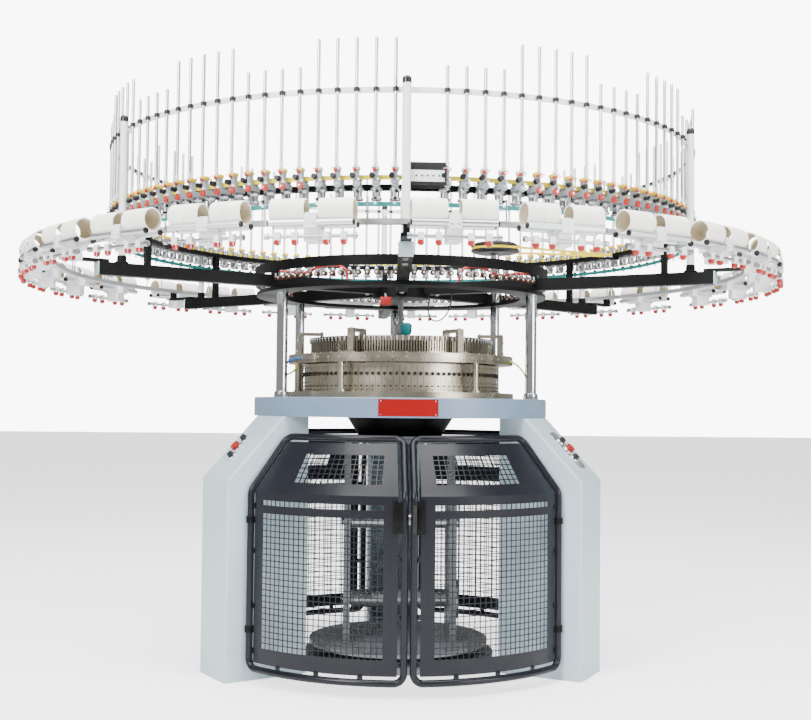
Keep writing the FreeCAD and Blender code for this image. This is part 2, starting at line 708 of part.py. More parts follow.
# ---- hoses and cable ----------------------------------------------------------------------
# Route points as (radius, angle, height); the first and last lie on what the hose leaves.
HOSES = {
    "hose_blue": (4.5, ((592, 203.0, 1152), (592, 203.0, 1206), (586, 204.6, 1262), (562, 206.4, 1306),
                        (532, 208.4, 1320), (508.4, 208.6, 1322))),
    "hose_yellow": (4.5, ((566, 196.5, 1152), (566, 196.5, 1196), (556, 197.2, 1234), (532, 198.4, 1253),
                          (508, 199.2, 1264), (494, 199.6, 1283), (493, 199.7, 1303.3))),
    "hose_green": (4.0, ((590, 342.0, 1152), (590, 342.0, 1198), (583, 341.0, 1244), (560, 339.6, 1284),
                         (534, 338.1, 1312), (508.4, 338.0, 1316))),
    "hose_red_left": (6.0, ((655.6, 187.0, 1712), (600, 187.0, 1714), (520, 186.0, 1718), (455, 183.0, 1716),
                            (418, 180.0, 1722), (385, 188.0, 1742), (330, 198.0, 1746), (300, 206.0, 1735),
                            (287, 209.8, 1715), (285, 210.0, 1670.2))),
    "hose_red_right": (6.0, ((655.6, 345.0, 1712), (600, 345.0, 1714), (520, 348.0, 1718), (450, 354.0, 1716),
                             (415, 350.0, 1724), (380, 338.0, 1742), (330, 337.5, 1746), (303, 334.0, 1735),
                             (290, 330.2, 1715), (288, 330.0, 1670.2))),
    "cable_black": (3.5, ((142, 330.0, 1620), (140, 330.5, 1586), (137, 329.0, 1552), (146, 327.0, 1520),
                          (172, 327.0, 1498), (204, 329.0, 1504), (228, 331.0, 1530), (243, 331.0, 1562),
                          (252, 330.5, 1594), (254, 330.0, 1620))),
}


def hose(name):
    radius, places = HOSES[name]
    points = [polar(*place) for place in places]
    bends = [bend_radius(*three) for three in zip(points, points[1:], points[2:])]
    body = fused(tube_pieces(points, bends, radius))
    print(name, "bends", [round(bend) for bend in bends], "length", round(body.Volume / (math.pi * radius ** 2)))
    return body


# ---- the whole machine --------------------------------------------------------------------
def main():
    os.makedirs("parts", exist_ok=True)
    for name, angle in zip(("leg_left", "leg_right", "leg_rear"), LEG_ANGLES):
        save(name, leg(angle))
    save("table_plate", table_plate())
    save("bearing_housing", bearing_housing())
    save("floor_bearing", floor_bearing())

    save("base_ring", ring(CYLINDER_R + 7, BED_R, TABLE_TOP, BED_TOP))
    save("cam_boxes", cam_boxes())
    save("sinker_ring", ring(CYLINDER_R + 11, SINKER_R, SINKER_BOTTOM, SINKER_TOP))
    save("yarn_fingers", yarn_fingers())
    save("ring_gates", all_round(ring_gate(), range(0, 360, 60)) + all_round(ring_post(), range(20, 380, 72)))
    save("needle_cylinder", needle_cylinder())
    gear_arcs = in_arcs(gear(RING_TEETH, 1095, 1125, 345), 520, GEAR_ARCS)
    save("ring_gear", [turned(arc, SHAFT_ANGLE) for arc in gear_arcs])

    save("drive_shaft", drive_shaft())
    save("quality_pulley", quality_pulley())
    save("quality_belt", quality_belt())
    save("belt_idler", belt_idler())

    save("columns", [column(*place) for place in COLUMNS])
    save("column_ring", column_ring())
    save("spider_hub", disc(HUB_R, COLUMN_TOP, ARM_BOTTOM + ARM_SIZE + 10))
    save("spider_arms", all_round(spider_arm(), ARM_ANGLES))
    save("band_ring", band_ring())
    save("ring_stands", ring_stands())
    save("centre_fan", centre_fan())
    save("tube_ring", tube_ring())
    save("yarn_tubes", yarn_tubes())
    feeder_rail = ring(FEED_RAIL_R[0], FEED_RAIL_R[1], FEED_RAIL_Z[0], FEED_RAIL_Z[1])
    save("feeder_rail", in_arcs(feeder_rail, FEED_RAIL_R[1] + 1, RING_ARCS))
    save("feeder_housings", all_round(feeder_housing(), tube_angles()))
    save("feeder_wheels", all_round(feeder_wheel(), tube_angles()))
    save("feeder_belts", feeder_belts())

    roller_rail = ring(ROLLER_RING_R[0], ROLLER_RING_R[1], ROLLER_RING_Z[0], ROLLER_RING_Z[1])
    save("roller_rail", in_arcs(roller_rail, ROLLER_RING_R[1] + 1, RAIL_ARCS))
    save("roller_brackets", all_round(roller_bracket(), device_angles()))
    save("drive_rollers", all_round(drive_roller(-1), device_angles()) + all_round(drive_roller(1), device_angles()))
    save("yarn_cores", all_round(yarn_cores(), device_angles()))
    save("sensor_rails", all_round(sensor_rail(), device_angles()))
    save("stop_sensors", all_round(stop_sensors(), device_angles()))
    save("sensor_lenses", all_round(sensor_lenses(), device_angles()))

    frame = door_frame()
    panel = door_panel(frame)
    save("door_frame_left", frame)
    save("door_panel_left", panel)
    save("door_frame_right", mirrored(frame))
    save("door_panel_right", mirrored(panel))
    wing = rear_guard(panel)
    wing_pair = Part.makeCompound([wing, mirrored(wing)])
    save("rear_guards", all_round(wing_pair, (-120, 120)))
    save("door_hinges", door_hinges())
    save("door_handle", door_handle())
    line = hinge_line()
    print("left door hinge line", round(line.x, 3), round(line.y, 3))

    save("takedown_frame", takedown_frame())
    save("takedown_roller_front", takedown_roller(-NIP_R - 1, NIP_Z, NIP_R, 12, 28))
    save("takedown_roller_back", takedown_roller(NIP_R + 1, NIP_Z, NIP_R, 12, 28))
    save("cloth_roller", takedown_roller(0, CLOTH_Z, CLOTH_R, 14, 90))

    names = ("start_button", "stop_button", "inch_button")
    for name, step in zip(names, BUTTON_STEPS):
        save(name + "_left", button(LEG_ANGLES[0], 1, step))
        save(name + "_right", button(LEG_ANGLES[1], -1, step))
    for name in HOSES:
        save(name, hose(name))


main()
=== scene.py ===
# %% [markdown]
# # Large circular knitting machine
# The construction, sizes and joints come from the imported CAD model. This lesson adds the finishes and the
# small pieces that make the machine look real: screws, lenses, caps, yarn guides, hoses and plates.
# Everything is in metres, with the machine's vertical axis on Z and the operator's side on -Y.

# %% Load the machine's frame
import json
import math

import bmesh
import bpy
from mathutils import Matrix, Vector


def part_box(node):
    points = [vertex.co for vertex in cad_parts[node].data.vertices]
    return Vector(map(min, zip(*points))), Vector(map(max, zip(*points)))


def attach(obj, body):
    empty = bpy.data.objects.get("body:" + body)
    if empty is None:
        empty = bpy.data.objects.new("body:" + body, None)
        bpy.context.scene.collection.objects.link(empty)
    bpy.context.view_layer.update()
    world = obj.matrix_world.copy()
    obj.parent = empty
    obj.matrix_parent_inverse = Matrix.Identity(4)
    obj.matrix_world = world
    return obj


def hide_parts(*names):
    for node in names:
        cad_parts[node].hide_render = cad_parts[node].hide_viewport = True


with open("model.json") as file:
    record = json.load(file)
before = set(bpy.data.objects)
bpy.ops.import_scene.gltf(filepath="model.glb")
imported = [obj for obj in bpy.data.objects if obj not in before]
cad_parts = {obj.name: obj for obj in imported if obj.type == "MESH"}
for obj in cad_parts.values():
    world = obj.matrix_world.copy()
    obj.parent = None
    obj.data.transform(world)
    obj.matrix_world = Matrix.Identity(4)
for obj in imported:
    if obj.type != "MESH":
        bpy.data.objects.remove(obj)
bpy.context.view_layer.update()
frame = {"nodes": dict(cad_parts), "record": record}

# %% [markdown]
# ## Camera and studio
# The camera comes first, because the cords are checked against its view. It stands a little to the left of
# the middle at chest height and looks slightly up, so that the undersides of the rings show. The long lens
# keeps the rings' ellipses flat.

# %% Camera
CAMERA_PLACE = Vector((-0.265, -5.301, 1.12))
TURN_RIGHT, LOOK_UP, ROLL = (math.radians(angle) for angle in (3.1, 2.24, 0.55))
FOCAL_LENGTH = 51.7


def make_camera():
    data = bpy.data.cameras.new("camera")
    data.lens = FOCAL_LENGTH
    data.sensor_width = 36.0
    camera = bpy.data.objects.new("camera", data)
    aim = Matrix.Rotation(-TURN_RIGHT, 4, "Z") @ Matrix.Rotation(math.pi / 2 + LOOK_UP, 4, "X")
    camera.matrix_world = Matrix.Translation(CAMERA_PLACE) @ aim @ Matrix.Rotation(ROLL, 4, "Z")
    bpy.context.scene.collection.objects.link(camera)
    bpy.context.scene.camera = camera
    print("camera lens", FOCAL_LENGTH, "mm")


make_camera()

# %% Sizes read from the frame
LEG_ANGLES = (210.0, 330.0, 90.0)
ARM_ANGLES = (210.0, 267.7, 330.0, 40.0, 91.5, 140.0)
FRONT = 270.0


def top_of(node):
    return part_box(node)[1][2]


def bottom_of(node):
    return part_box(node)[0][2]


def reach_of(node):
    """Largest radius of a round node, from its box."""
    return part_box(node)[1][0]


TABLE_R = reach_of("table_plate")
TABLE_TOP = top_of("table_plate")
TABLE_LOW = bottom_of("table_plate")
CAM_R = reach_of("cam_boxes")
CAM_LOW = bottom_of("cam_boxes")
SINKER_R, SINKER_TOP = reach_of("sinker_ring"), top_of("sinker_ring")
FINGER_TOP = top_of("yarn_fingers")
ARM_LOW, ARM_TOP = bottom_of("spider_arms"), top_of("spider_arms")
ARM_END = 1.415
BAND_R, BAND_LOW = reach_of("band_ring"), bottom_of("band_ring")
print("table radius", round(TABLE_R, 3), "cam radius", round(CAM_R, 3))


def polar(radius, angle, z=0.0):
    turn = math.radians(angle)
    return Vector((radius * math.cos(turn), radius * math.sin(turn), z))


def turn_z(angle):
    return Matrix.Rotation(math.radians(angle), 4, "Z")


# %% [markdown]
# ## Colour and surface groups
# Enamel, turned metal and moulded plastic all vary a little over their surface. Each effect is a node group,
# so every finish can use it with its own values. The groups give out only colours and values; the Principled
# shader stays in each material.

# %% Helpers for node groups
def paint_value(red, green, blue):
    """A colour from 0 to 255, as the linear value that shaders use."""
    return tuple((channel / 255.0) ** 2.2 for channel in (red, green, blue)) + (1.0,)


def new_group(name, inputs, outputs):
    group = bpy.data.node_groups.new(name, "ShaderNodeTree")
    for label, kind, default in inputs:
        socket = group.interface.new_socket(label, in_out="INPUT", socket_type=kind)
        socket.default_value = default
    for label, kind in outputs:
        group.interface.new_socket(label, in_out="OUTPUT", socket_type=kind)
    return group, group.nodes.new("NodeGroupInput"), group.nodes.new("NodeGroupOutput")


print("paint 128 is", round(paint_value(128, 0, 0)[0], 3), "as linear light")


# %% Helpers that add one node each
def feed(links, socket, value):
    """Links another socket into this one, or sets a constant on it."""
    if isinstance(value, bpy.types.NodeSocket):
        links.new(value, socket)
    else:
        socket.default_value = value


def map_value(nodes, links, source, low, high, from_low=0.0, from_high=1.0):
    node = nodes.new("ShaderNodeMapRange")
    for label, value in (("Value", source), ("From Min", from_low), ("From Max", from_high), ("To Min", low),
                         ("To Max", high)):
        feed(links, node.inputs[label], value)
    return node.outputs["Result"]


def mix_colour(nodes, links, factor, first, second, blend="MIX"):
    node = nodes.new("ShaderNodeMix")
    node.data_type = "RGBA"
    node.blend_type = blend
    for index, value in ((0, factor), (6, first), (7, second)):
        feed(links, node.inputs[index], value)
    return node.outputs[2]


def noise_value(nodes, links, place, scale, detail):
    node = nodes.new("ShaderNodeTexNoise")
    for label, value in (("Vector", place), ("Scale", scale), ("Detail", detail)):
        feed(links, node.inputs[label], value)
    return node.outputs["Fac"]


def multiply(nodes, links, first, second):
    node = nodes.new("ShaderNodeMath")
    node.operation = "MULTIPLY"
    links.new(first, node.inputs[0])
    links.new(second, node.inputs[1])
    return node.outputs[0]


print("node helpers:", [helper.__name__ for helper in (map_value, mix_colour, noise_value, multiply)])


# %% Group: slow colour drift and fine skin of enamel or plastic
def build_skin_group():
    group, gin, gout = new_group(
        "surface_skin",
        [("Colour", "NodeSocketColor", (0.5, 0.5, 0.5, 1)), ("Drift", "NodeSocketFloat", 0.1),
         ("Drift Scale", "NodeSocketFloat", 3.0), ("Skin Scale", "NodeSocketFloat", 250.0),
         ("Rough Low", "NodeSocketFloat", 0.3), ("Rough High", "NodeSocketFloat", 0.45)],
        [("Colour", "NodeSocketColor"), ("Roughness", "NodeSocketFloat"), ("Height", "NodeSocketFloat")])
    nodes, links = group.nodes, group.links
    place = nodes.new("ShaderNodeTexCoord").outputs["Object"]
    drift = noise_value(nodes, links, place, gin.outputs["Drift Scale"], 5.0)
    skin = noise_value(nodes, links, place, gin.outputs["Skin Scale"], 2.0)
    tone = map_value(nodes, links, drift, 0.35, 1.25, 0.3, 0.7)
    darker = mix_colour(nodes, links, gin.outputs["Drift"], gin.outputs["Colour"], tone, "MULTIPLY")
    rough = map_value(nodes, links, drift, gin.outputs["Rough Low"], gin.outputs["Rough High"], 0.35, 0.65)
    links.new(darker, gout.inputs["Colour"])
    links.new(rough, gout.inputs["Roughness"])
    links.new(skin, gout.inputs["Height"])
    return group


SKIN = build_skin_group()
print("group", SKIN.name)


# %% Group: rings left by a lathe or grinder round the machine's axis
def build_turned_group():
    group, gin, gout = new_group(
        "turned_rings",
        [("Ring Scale", "NodeSocketFloat", 400.0)],
        [("Mask", "NodeSocketFloat")])
    nodes, links = group.nodes, group.links
    place = nodes.new("ShaderNodeTexCoord").outputs["Object"]
    split = nodes.new("ShaderNodeSeparateXYZ")
    links.new(place, split.inputs[0])
    flat = nodes.new("ShaderNodeCombineXYZ")
    links.new(split.outputs["X"], flat.inputs["X"])
    links.new(split.outputs["Y"], flat.inputs["Y"])
    radius = nodes.new("ShaderNodeVectorMath")
    radius.operation = "LENGTH"
    links.new(flat.outputs[0], radius.inputs[0])
    line = nodes.new("ShaderNodeCombineXYZ")
    links.new(radius.outputs["Value"], line.inputs["X"])
    links.new(split.outputs["Z"], line.inputs["Y"])
    rings = noise_value(nodes, links, line.outputs[0], gin.outputs["Ring Scale"], 3.0)
    links.new(rings, gout.inputs["Mask"])
    return group


TURNED = build_turned_group()
print("group", TURNED.name)


# %% Group: dust that settles on faces that look up
def build_dust_group():
    group, gin, gout = new_group(
        "lint_dust",
        [("Colour", "NodeSocketColor", (0.5, 0.5, 0.5, 1)), ("Amount", "NodeSocketFloat", 0.3)],
        [("Colour", "NodeSocketColor")])
    nodes, links = group.nodes, group.links
    up = nodes.new("ShaderNodeSeparateXYZ")
    links.new(nodes.new("ShaderNodeNewGeometry").outputs["Normal"], up.inputs[0])
    facing = map_value(nodes, links, up.outputs["Z"], 0.0, 1.0, 0.6, 1.0)
    place = nodes.new("ShaderNodeTexCoord").outputs["Object"]
    patch = map_value(nodes, links, noise_value(nodes, links, place, 14.0, 6.0), 0.3, 1.0, 0.4, 0.7)
    amount = multiply(nodes, links, multiply(nodes, links, facing, patch), gin.outputs["Amount"])
    lint = paint_value(205, 202, 196)
    mixed = mix_colour(nodes, links, amount, gin.outputs["Colour"], lint)
    links.new(mixed, gout.inputs["Colour"])
    return group


DUST = build_dust_group()
print("group", DUST.name)


# %% Start a material with the skin group in it
def start_finish(name, colour, drift, rough, drift_scale=3.0, skin_scale=250.0, dust=0.0):
    material = bpy.data.materials.new(name)
    material.use_nodes = True
    nodes, links = material.node_tree.nodes, material.node_tree.links
    shader = nodes["Principled BSDF"]
    skin = nodes.new("ShaderNodeGroup")
    skin.node_tree = SKIN
    values = (("Colour", colour), ("Drift", drift), ("Drift Scale", drift_scale),
              ("Skin Scale", skin_scale), ("Rough Low", rough[0]), ("Rough High", rough[1]))
    for label, value in values:
        skin.inputs[label].default_value = value
    colour_out = skin.outputs["Colour"]
    if dust:
        powder = nodes.new("ShaderNodeGroup")
        powder.node_tree = DUST
        powder.inputs["Amount"].default_value = dust
        links.new(colour_out, powder.inputs["Colour"])
        colour_out = powder.outputs["Colour"]
    links.new(colour_out, shader.inputs["Base Color"])
    links.new(skin.outputs["Roughness"], shader.inputs["Roughness"])
    return material, shader, skin


def add_bump(material, shader, height, strength, distance):
    nodes, links = material.node_tree.nodes, material.node_tree.links
    bump = nodes.new("ShaderNodeBump")
    bump.inputs["Strength"].default_value = strength
    bump.inputs["Distance"].default_value = distance
    links.new(height, bump.inputs["Height"])
    links.new(bump.outputs["Normal"], shader.inputs["Normal"])


print("skin group sockets:", [socket.name for socket in SKIN.interface.items_tree])


# %% Enamel, plastic and metal makers
def enamel(name, colour, rough=(0.28, 0.4), drift=0.12, coat=0.2, dust=0.0, shine=0.5):
    material, shader, skin = start_finish(name, colour, drift, rough, dust=dust)
    shader.inputs["Specular IOR Level"].default_value = shine
    shader.inputs["Coat Weight"].default_value = coat
    shader.inputs["Coat Roughness"].default_value = 0.12
    add_bump(material, shader, skin.outputs["Height"], 0.12, 0.0006)
    return material


def moulded(name, colour, rough=(0.35, 0.5), drift=0.1):
    material, shader, skin = start_finish(name, colour, drift, rough, drift_scale=25.0, skin_scale=900.0)
    add_bump(material, shader, skin.outputs["Height"], 0.15, 0.0003)
    return material


def bright_metal(name, colour, rough, drift=0.15, ring_scale=0.0):
    material, shader, skin = start_finish(name, colour, drift, rough, drift_scale=8.0, skin_scale=600.0)
    shader.inputs["Metallic"].default_value = 1.0
    if ring_scale:
        nodes = material.node_tree.nodes
        rings = nodes.new("ShaderNodeGroup")
        rings.node_tree = TURNED
        rings.inputs["Ring Scale"].default_value = ring_scale
        add_bump(material, shader, rings.outputs["Mask"], 0.05, 0.0002)
    else:
        add_bump(material, shader, skin.outputs["Height"], 0.02, 0.0002)
    return material


print("makers:", [maker.__name__ for maker in (enamel, moulded, bright_metal)])

# %% [markdown]
# ## Finishes of the machine
# One finish for each material slot of the record. Legs are pale blue-grey enamel, the table is a darker
# slate, the cage has dark powder coat, the head is nickel with a warm tone, and the columns are chrome.

# %% Finishes by slot
FINISHES = {
    "leg_paint": enamel("leg_enamel", paint_value(170, 190, 198), dust=0.06),
    "table_paint": enamel("table_enamel", paint_value(104, 124, 146), dust=0.1),
    "black_paint": enamel("black_enamel", paint_value(6, 8, 8), rough=(0.4, 0.55), drift=0.3, coat=0.0,
                          dust=0.004, shine=0.15),
    "door_paint": enamel("cage_powder_coat", paint_value(13, 16, 25), rough=(0.3, 0.4), drift=0.2, coat=0.12,
                         dust=0.004, shine=0.25),
    "white_paint": enamel("white_enamel", paint_value(236, 238, 238), rough=(0.25, 0.35), drift=0.06),
    "nickel": bright_metal("warm_nickel", paint_value(172, 164, 146), (0.2, 0.36), ring_scale=220.0),
    "steel": bright_metal("turned_steel", paint_value(176, 178, 180), (0.22, 0.38), ring_scale=500.0),
    "chrome": bright_metal("chrome_plate", paint_value(206, 210, 212), (0.05, 0.12), drift=0.05),
    "aluminium": bright_metal("drawn_aluminium", paint_value(214, 217, 220), (0.28, 0.42), drift=0.08),
    "cast_grey": enamel("casting_grey", paint_value(120, 124, 128), rough=(0.4, 0.55), drift=0.25),
    "core_board": moulded("ivory_core", paint_value(253, 251, 244), rough=(0.45, 0.6), drift=0.04),
    "grey_plastic": moulded("feeder_grey", paint_value(150, 156, 160)),
    "white_plastic": moulded("bracket_white", paint_value(232, 234, 234), rough=(0.25, 0.4), drift=0.06),
    "black_plastic": moulded("black_moulding", paint_value(14, 14, 16), drift=0.2),
    "red_plastic": moulded("red_moulding", paint_value(146, 4, 6), rough=(0.4, 0.5)),
    "belt_yellow": moulded("yellow_belt", paint_value(222, 192, 10), rough=(0.5, 0.65)),
    "blue_hose": moulded("blue_hose_skin", paint_value(32, 104, 190), rough=(0.25, 0.4)),
    "yellow_hose": moulded("yellow_hose_skin", paint_value(222, 208, 60), rough=(0.25, 0.4)),
    "green_hose": moulded("green_hose_skin", paint_value(176, 208, 70), rough=(0.25, 0.4)),
    "red_hose": moulded("red_hose_skin", paint_value(160, 8, 8), rough=(0.25, 0.4)),
}

print("finishes:", len(FINISHES))


# %% Finishes on the CAD nodes
def two_level_belt():
    """Yellow above and teal below, parted by height between the two feeder belts."""
    material, shader, skin = start_finish("feeder_belt_pair", paint_value(214, 196, 40), 0.1, (0.5, 0.65))
    nodes, links = material.node_tree.nodes, material.node_tree.links
    split = nodes.new("ShaderNodeSeparateXYZ")
    links.new(nodes.new("ShaderNodeTexCoord").outputs["Object"], split.inputs[0])
    middle = (bottom_of("feeder_belts") + top_of("feeder_belts")) / 2
    level = map_value(nodes, links, split.outputs["Z"], 0.0, 1.0, middle - 0.005, middle + 0.005)
    teal = paint_value(16, 118, 116)
    links.new(mix_colour(nodes, links, level, teal, skin.outputs["Colour"]), shader.inputs["Base Color"])
    return material


def finish_cad_nodes():
    belts = two_level_belt()
    for entry in frame["record"]["subparts"]:
        node = frame["nodes"][entry["node"]]
        material = belts if entry["node"] == "feeder_belts" else FINISHES[entry["material_slot"]]
        for slot in node.material_slots:
            slot.material = material
    print("finished", len(frame["nodes"]), "CAD nodes")


finish_cad_nodes()

# %% Extra finishes for the added pieces
ORANGE = moulded("orange_red_cap", paint_value(178, 40, 6), rough=(0.4, 0.5))
YELLOW = moulded("yellow_cap", paint_value(238, 196, 4), rough=(0.3, 0.4))
CERAMIC = moulded("white_ceramic", paint_value(240, 240, 238), rough=(0.08, 0.15), drift=0.02)
CORE_INSIDE = moulded("core_inside", paint_value(214, 202, 176), rough=(0.6, 0.8), drift=0.3)
# Near-black used as painted shade in the cam box slots and the grooves between the yarn fingers, and as the
# colour of the dial knobs and gauge lines.
DARK_GAP = moulded("dark_recess", paint_value(30, 28, 26), rough=(0.6, 0.8))
SCREW = bright_metal("zinc_screw", paint_value(190, 192, 196), (0.25, 0.4))
TEAL = moulded("teal_housing", paint_value(20, 120, 124), rough=(0.3, 0.4))
BROWN = moulded("brown_eyelet", paint_value(70, 48, 38), rough=(0.2, 0.3))
PLATE_RED = enamel("name_plate_red", paint_value(128, 0, 4), rough=(0.4, 0.5), drift=0.05, coat=0.0,
                   shine=0.15)


def lens_red():
    material, shader, _ = start_finish("lens_red", paint_value(160, 3, 3), 0.1, (0.3, 0.4), drift_scale=40.0)
    shader.inputs["Subsurface Weight"].default_value = 0.2
    shader.inputs["Subsurface Radius"].default_value = (0.01, 0.002, 0.002)
    return material


LENS = lens_red()
print("materials so far:", len(bpy.data.materials))


# %% [markdown]
# ## Small tools for making pieces
# Each piece is a bmesh made from Blender's own operators. A small shape is made once and then copied round
# the machine, because almost everything on a circular machine repeats at a fixed angle.

# %% Shape helpers
def new_ones(elements, old):
    """The vertices or faces that weren't in the set `old`."""
    return [element for element in elements if element not in old]


def add_rod(bm, start, end, radius, far_radius=None, sides=12):
    """A closed rod or cone between two points."""
    start, end = Vector(start), Vector(end)
    along = end - start
    place = Matrix.Translation((start + end) / 2) @ along.to_track_quat("Z", "Y").to_matrix().to_4x4()
    far = radius if far_radius is None else far_radius
    bmesh.ops.create_cone(bm, cap_ends=True, segments=sides, radius1=radius, radius2=far,
                          depth=along.length, matrix=place)


def add_block(bm, centre, size, bevel=0.0):
    """A block with rounded edges where `bevel` isn't zero."""
    place = Matrix.Translation(Vector(centre)) @ Matrix.Diagonal((*size, 1.0))
    corners = bmesh.ops.create_cube(bm, size=1.0, matrix=place)["verts"]
    if bevel:
        edges = {edge for corner in corners for edge in corner.link_edges}
        bmesh.ops.bevel(bm, geom=list(edges), offset=bevel, segments=2, affect="EDGES", profile=0.5,
                        material=-1)


def add_turned(bm, profile, place=None, sides=16):
    """Spins a profile of (radius, height) points about Z."""
    old = set(bm.verts)
    verts = [bm.verts.new((radius, 0, height)) for radius, height in profile]
    edges = [bm.edges.new(pair) for pair in zip(verts, verts[1:])]
    bmesh.ops.spin(bm, geom=verts + edges, cent=(0, 0, 0), axis=(0, 0, 1), angle=2 * math.pi,
                   steps=sides, use_merge=True)
    bmesh.ops.remove_doubles(bm, verts=new_ones(bm.verts, old), dist=1e-6)
    fresh = new_ones(bm.verts, old)
    faces = {face for vert in fresh for face in vert.link_faces}
    bmesh.ops.recalc_face_normals(bm, faces=list(faces))
    if place is not None:
        bmesh.ops.transform(bm, matrix=place, verts=fresh)


def add_band(bm, inner, outer, low, high, place=None, sides=16):
    """A ring of rectangular section."""
    add_turned(bm, ((inner, low), (outer, low), (outer, high), (inner, high), (inner, low)), place, sides)


print("shape helpers:", [helper.__name__ for helper in (add_rod, add_block, add_turned, add_band)])


# %% Painting, copying and finishing a piece
def paint_faces(bm, old, index):
    """Gives the faces that weren't in the set `old` the material of this index."""
    for face in new_ones(bm.faces, old):
        face.material_index = index


def copy_round(shape, turns):
    """Copies one small bmesh to every matrix in `turns`, in a new bmesh."""
    template = bpy.data.meshes.new("template")
    shape.to_mesh(template)
    shape.free()
    whole = bmesh.new()
    for turn in turns:
        count = len(whole.verts)
        whole.from_mesh(template)
        whole.verts.ensure_lookup_table()
        bmesh.ops.transform(whole, matrix=turn, verts=whole.verts[count:])
    bpy.data.meshes.remove(template)
    return whole


def finish_piece(name, bm, materials, body, slot, smooth=True):
    mesh = bpy.data.meshes.new(name)
    bm.to_mesh(mesh)
    bm.free()
    for material in materials:
        mesh.materials.append(material)
    piece = bpy.data.objects.new(name, mesh)
    bpy.context.scene.collection.objects.link(piece)
    if smooth:
        mesh.polygons.foreach_set("use_smooth", [True] * len(mesh.polygons))
        mesh.set_sharp_from_angle(angle=math.radians(35))
    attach(piece, body)
    print(name, len(mesh.polygons), "faces")
    return piece


print("last step of a piece:", finish_piece.__name__)

# %% [markdown]
# ## Hoses and the looped cable
# Three hoses leave the table and curve up to the rings of the head. Two red ones run in from the band ring
# and arch over the arms, and a black cable hangs in a loop under the hub. Each one is a single smooth spline
# along the route that the CAD tube follows, with a round bevel.

# %% Hose routes, each point as radius (mm), angle (degrees) and height (mm)
HOSES = {
    "hose_blue": (0.0045, "blue_hose", 0.225, (
        (592, 203.0, 1152), (592, 203.0, 1206), (586, 204.6, 1262), (562, 206.4, 1306), (532, 208.4, 1320),
        (508.4, 208.6, 1322))),
    "hose_yellow": (0.0045, "yellow_hose", 0.186, (
        (566, 196.5, 1152), (566, 196.5, 1196), (556, 197.2, 1234), (532, 198.4, 1253), (508, 199.2, 1264),
        (494, 199.6, 1283), (493, 199.7, 1303.3))),
    "hose_green": (0.004, "green_hose", 0.207, (
        (590, 342.0, 1152), (590, 342.0, 1198), (583, 341.0, 1244), (560, 339.6, 1284), (534, 338.1, 1312),
        (508.4, 338.0, 1316))),
    "hose_red_left": (0.006, "red_hose", 0.519, (
        (655.6, 187.0, 1712), (600, 187.0, 1714), (520, 186.0, 1718), (455, 183.0, 1716), (418, 180.0, 1722),
        (385, 188.0, 1742), (330, 198.0, 1746), (300, 206.0, 1735), (287, 209.8, 1715),
        (285, 210.0, 1670.2))),
    "hose_red_right": (0.006, "red_hose", 0.510, (
        (655.6, 345.0, 1712), (600, 345.0, 1714), (520, 348.0, 1718), (450, 354.0, 1716), (415, 350.0, 1724),
        (380, 338.0, 1742), (330, 337.5, 1746), (303, 334.0, 1735), (290, 330.2, 1715),
        (288, 330.0, 1670.2))),
    "cable_black": (0.0035, "black_plastic", 0.295, (
        (142, 330.0, 1620), (140, 330.5, 1586), (137, 329.0, 1552), (146, 327.0, 1520), (172, 327.0, 1498),
        (204, 329.0, 1504), (228, 331.0, 1530), (243, 331.0, 1562), (252, 330.5, 1594), (254, 330.0, 1620))),
}
print("routes:", list(HOSES))


# %% One spline for each route
def make_hose(node, radius, slot, route):
    curve = bpy.data.curves.new(node + "_line", "CURVE")
    curve.dimensions = "3D"
    curve.bevel_depth = radius
    curve.bevel_resolution = 4
    curve.resolution_u = 12
    curve.use_fill_caps = True
    spline = curve.splines.new("NURBS")
    spline.points.add(len(route) - 1)
    points = [polar(place / 1000, angle, z / 1000) for place, angle, z in route]
    for point, control in zip(spline.points, points):
        point.co = (*control, 1.0)
    spline.order_u = 3
    spline.use_endpoint_u = True
    curve.materials.append(FINISHES[slot])
    hose = bpy.data.objects.new(node + "_smooth", curve)
    bpy.context.scene.collection.objects.link(hose)
    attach(hose, "frame")
    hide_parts(node)


for node, (radius, slot, length, route) in HOSES.items():
    make_hose(node, radius, slot, route)
print("hoses:", len(HOSES))

# %% [markdown]
# ## Legs and table
# The table carries a plain name plate, bent to its rim. Each operator's leg has a control group: a chromed
# bezel round each button, and a thin plate under them on the right leg.

# %% Blank plate on the table's rim
PLATE_HALF_ANGLE = 10.5
PLATE_HEIGHT = 0.068


def make_name_plate():
    bm = bmesh.new()
    middle = (TABLE_LOW + TABLE_TOP) / 2
    low, high = middle - PLATE_HEIGHT / 2, middle + PLATE_HEIGHT / 2
    inner, outer = TABLE_R + 0.0003, TABLE_R + 0.0025
    corners = [bm.verts.new(polar(radius, FRONT - PLATE_HALF_ANGLE, z))
               for radius, z in ((inner, low), (outer, low), (outer, high), (inner, high))]
    face = bm.faces.new(corners)
    bmesh.ops.spin(bm, geom=[face] + list(face.edges) + corners, cent=(0, 0, 0), axis=(0, 0, 1),
                   angle=math.radians(2 * PLATE_HALF_ANGLE), steps=28, use_merge=False)
    bmesh.ops.recalc_face_normals(bm, faces=bm.faces)
    finish_piece("blank_name_plate", bm, [PLATE_RED], "frame", "table_paint")


def make_plate_screws():
    """A small screw at each corner of the plate."""
    bm = bmesh.new()
    middle = (TABLE_LOW + TABLE_TOP) / 2
    half = PLATE_HEIGHT / 2 - 0.007
    for side in (-1, 1):
        for level in (-1, 1):
            foot = polar(TABLE_R, FRONT + side * (PLATE_HALF_ANGLE - 0.9), middle + level * half)
            out = Vector((foot.x, foot.y, 0)).normalized()
            add_rod(bm, foot + out * 0.002, foot + out * 0.0042, 0.0032, 0.0026, sides=14)
    finish_piece("name_plate_screws", bm, [SCREW], "frame", "steel")


make_name_plate()
make_plate_screws()


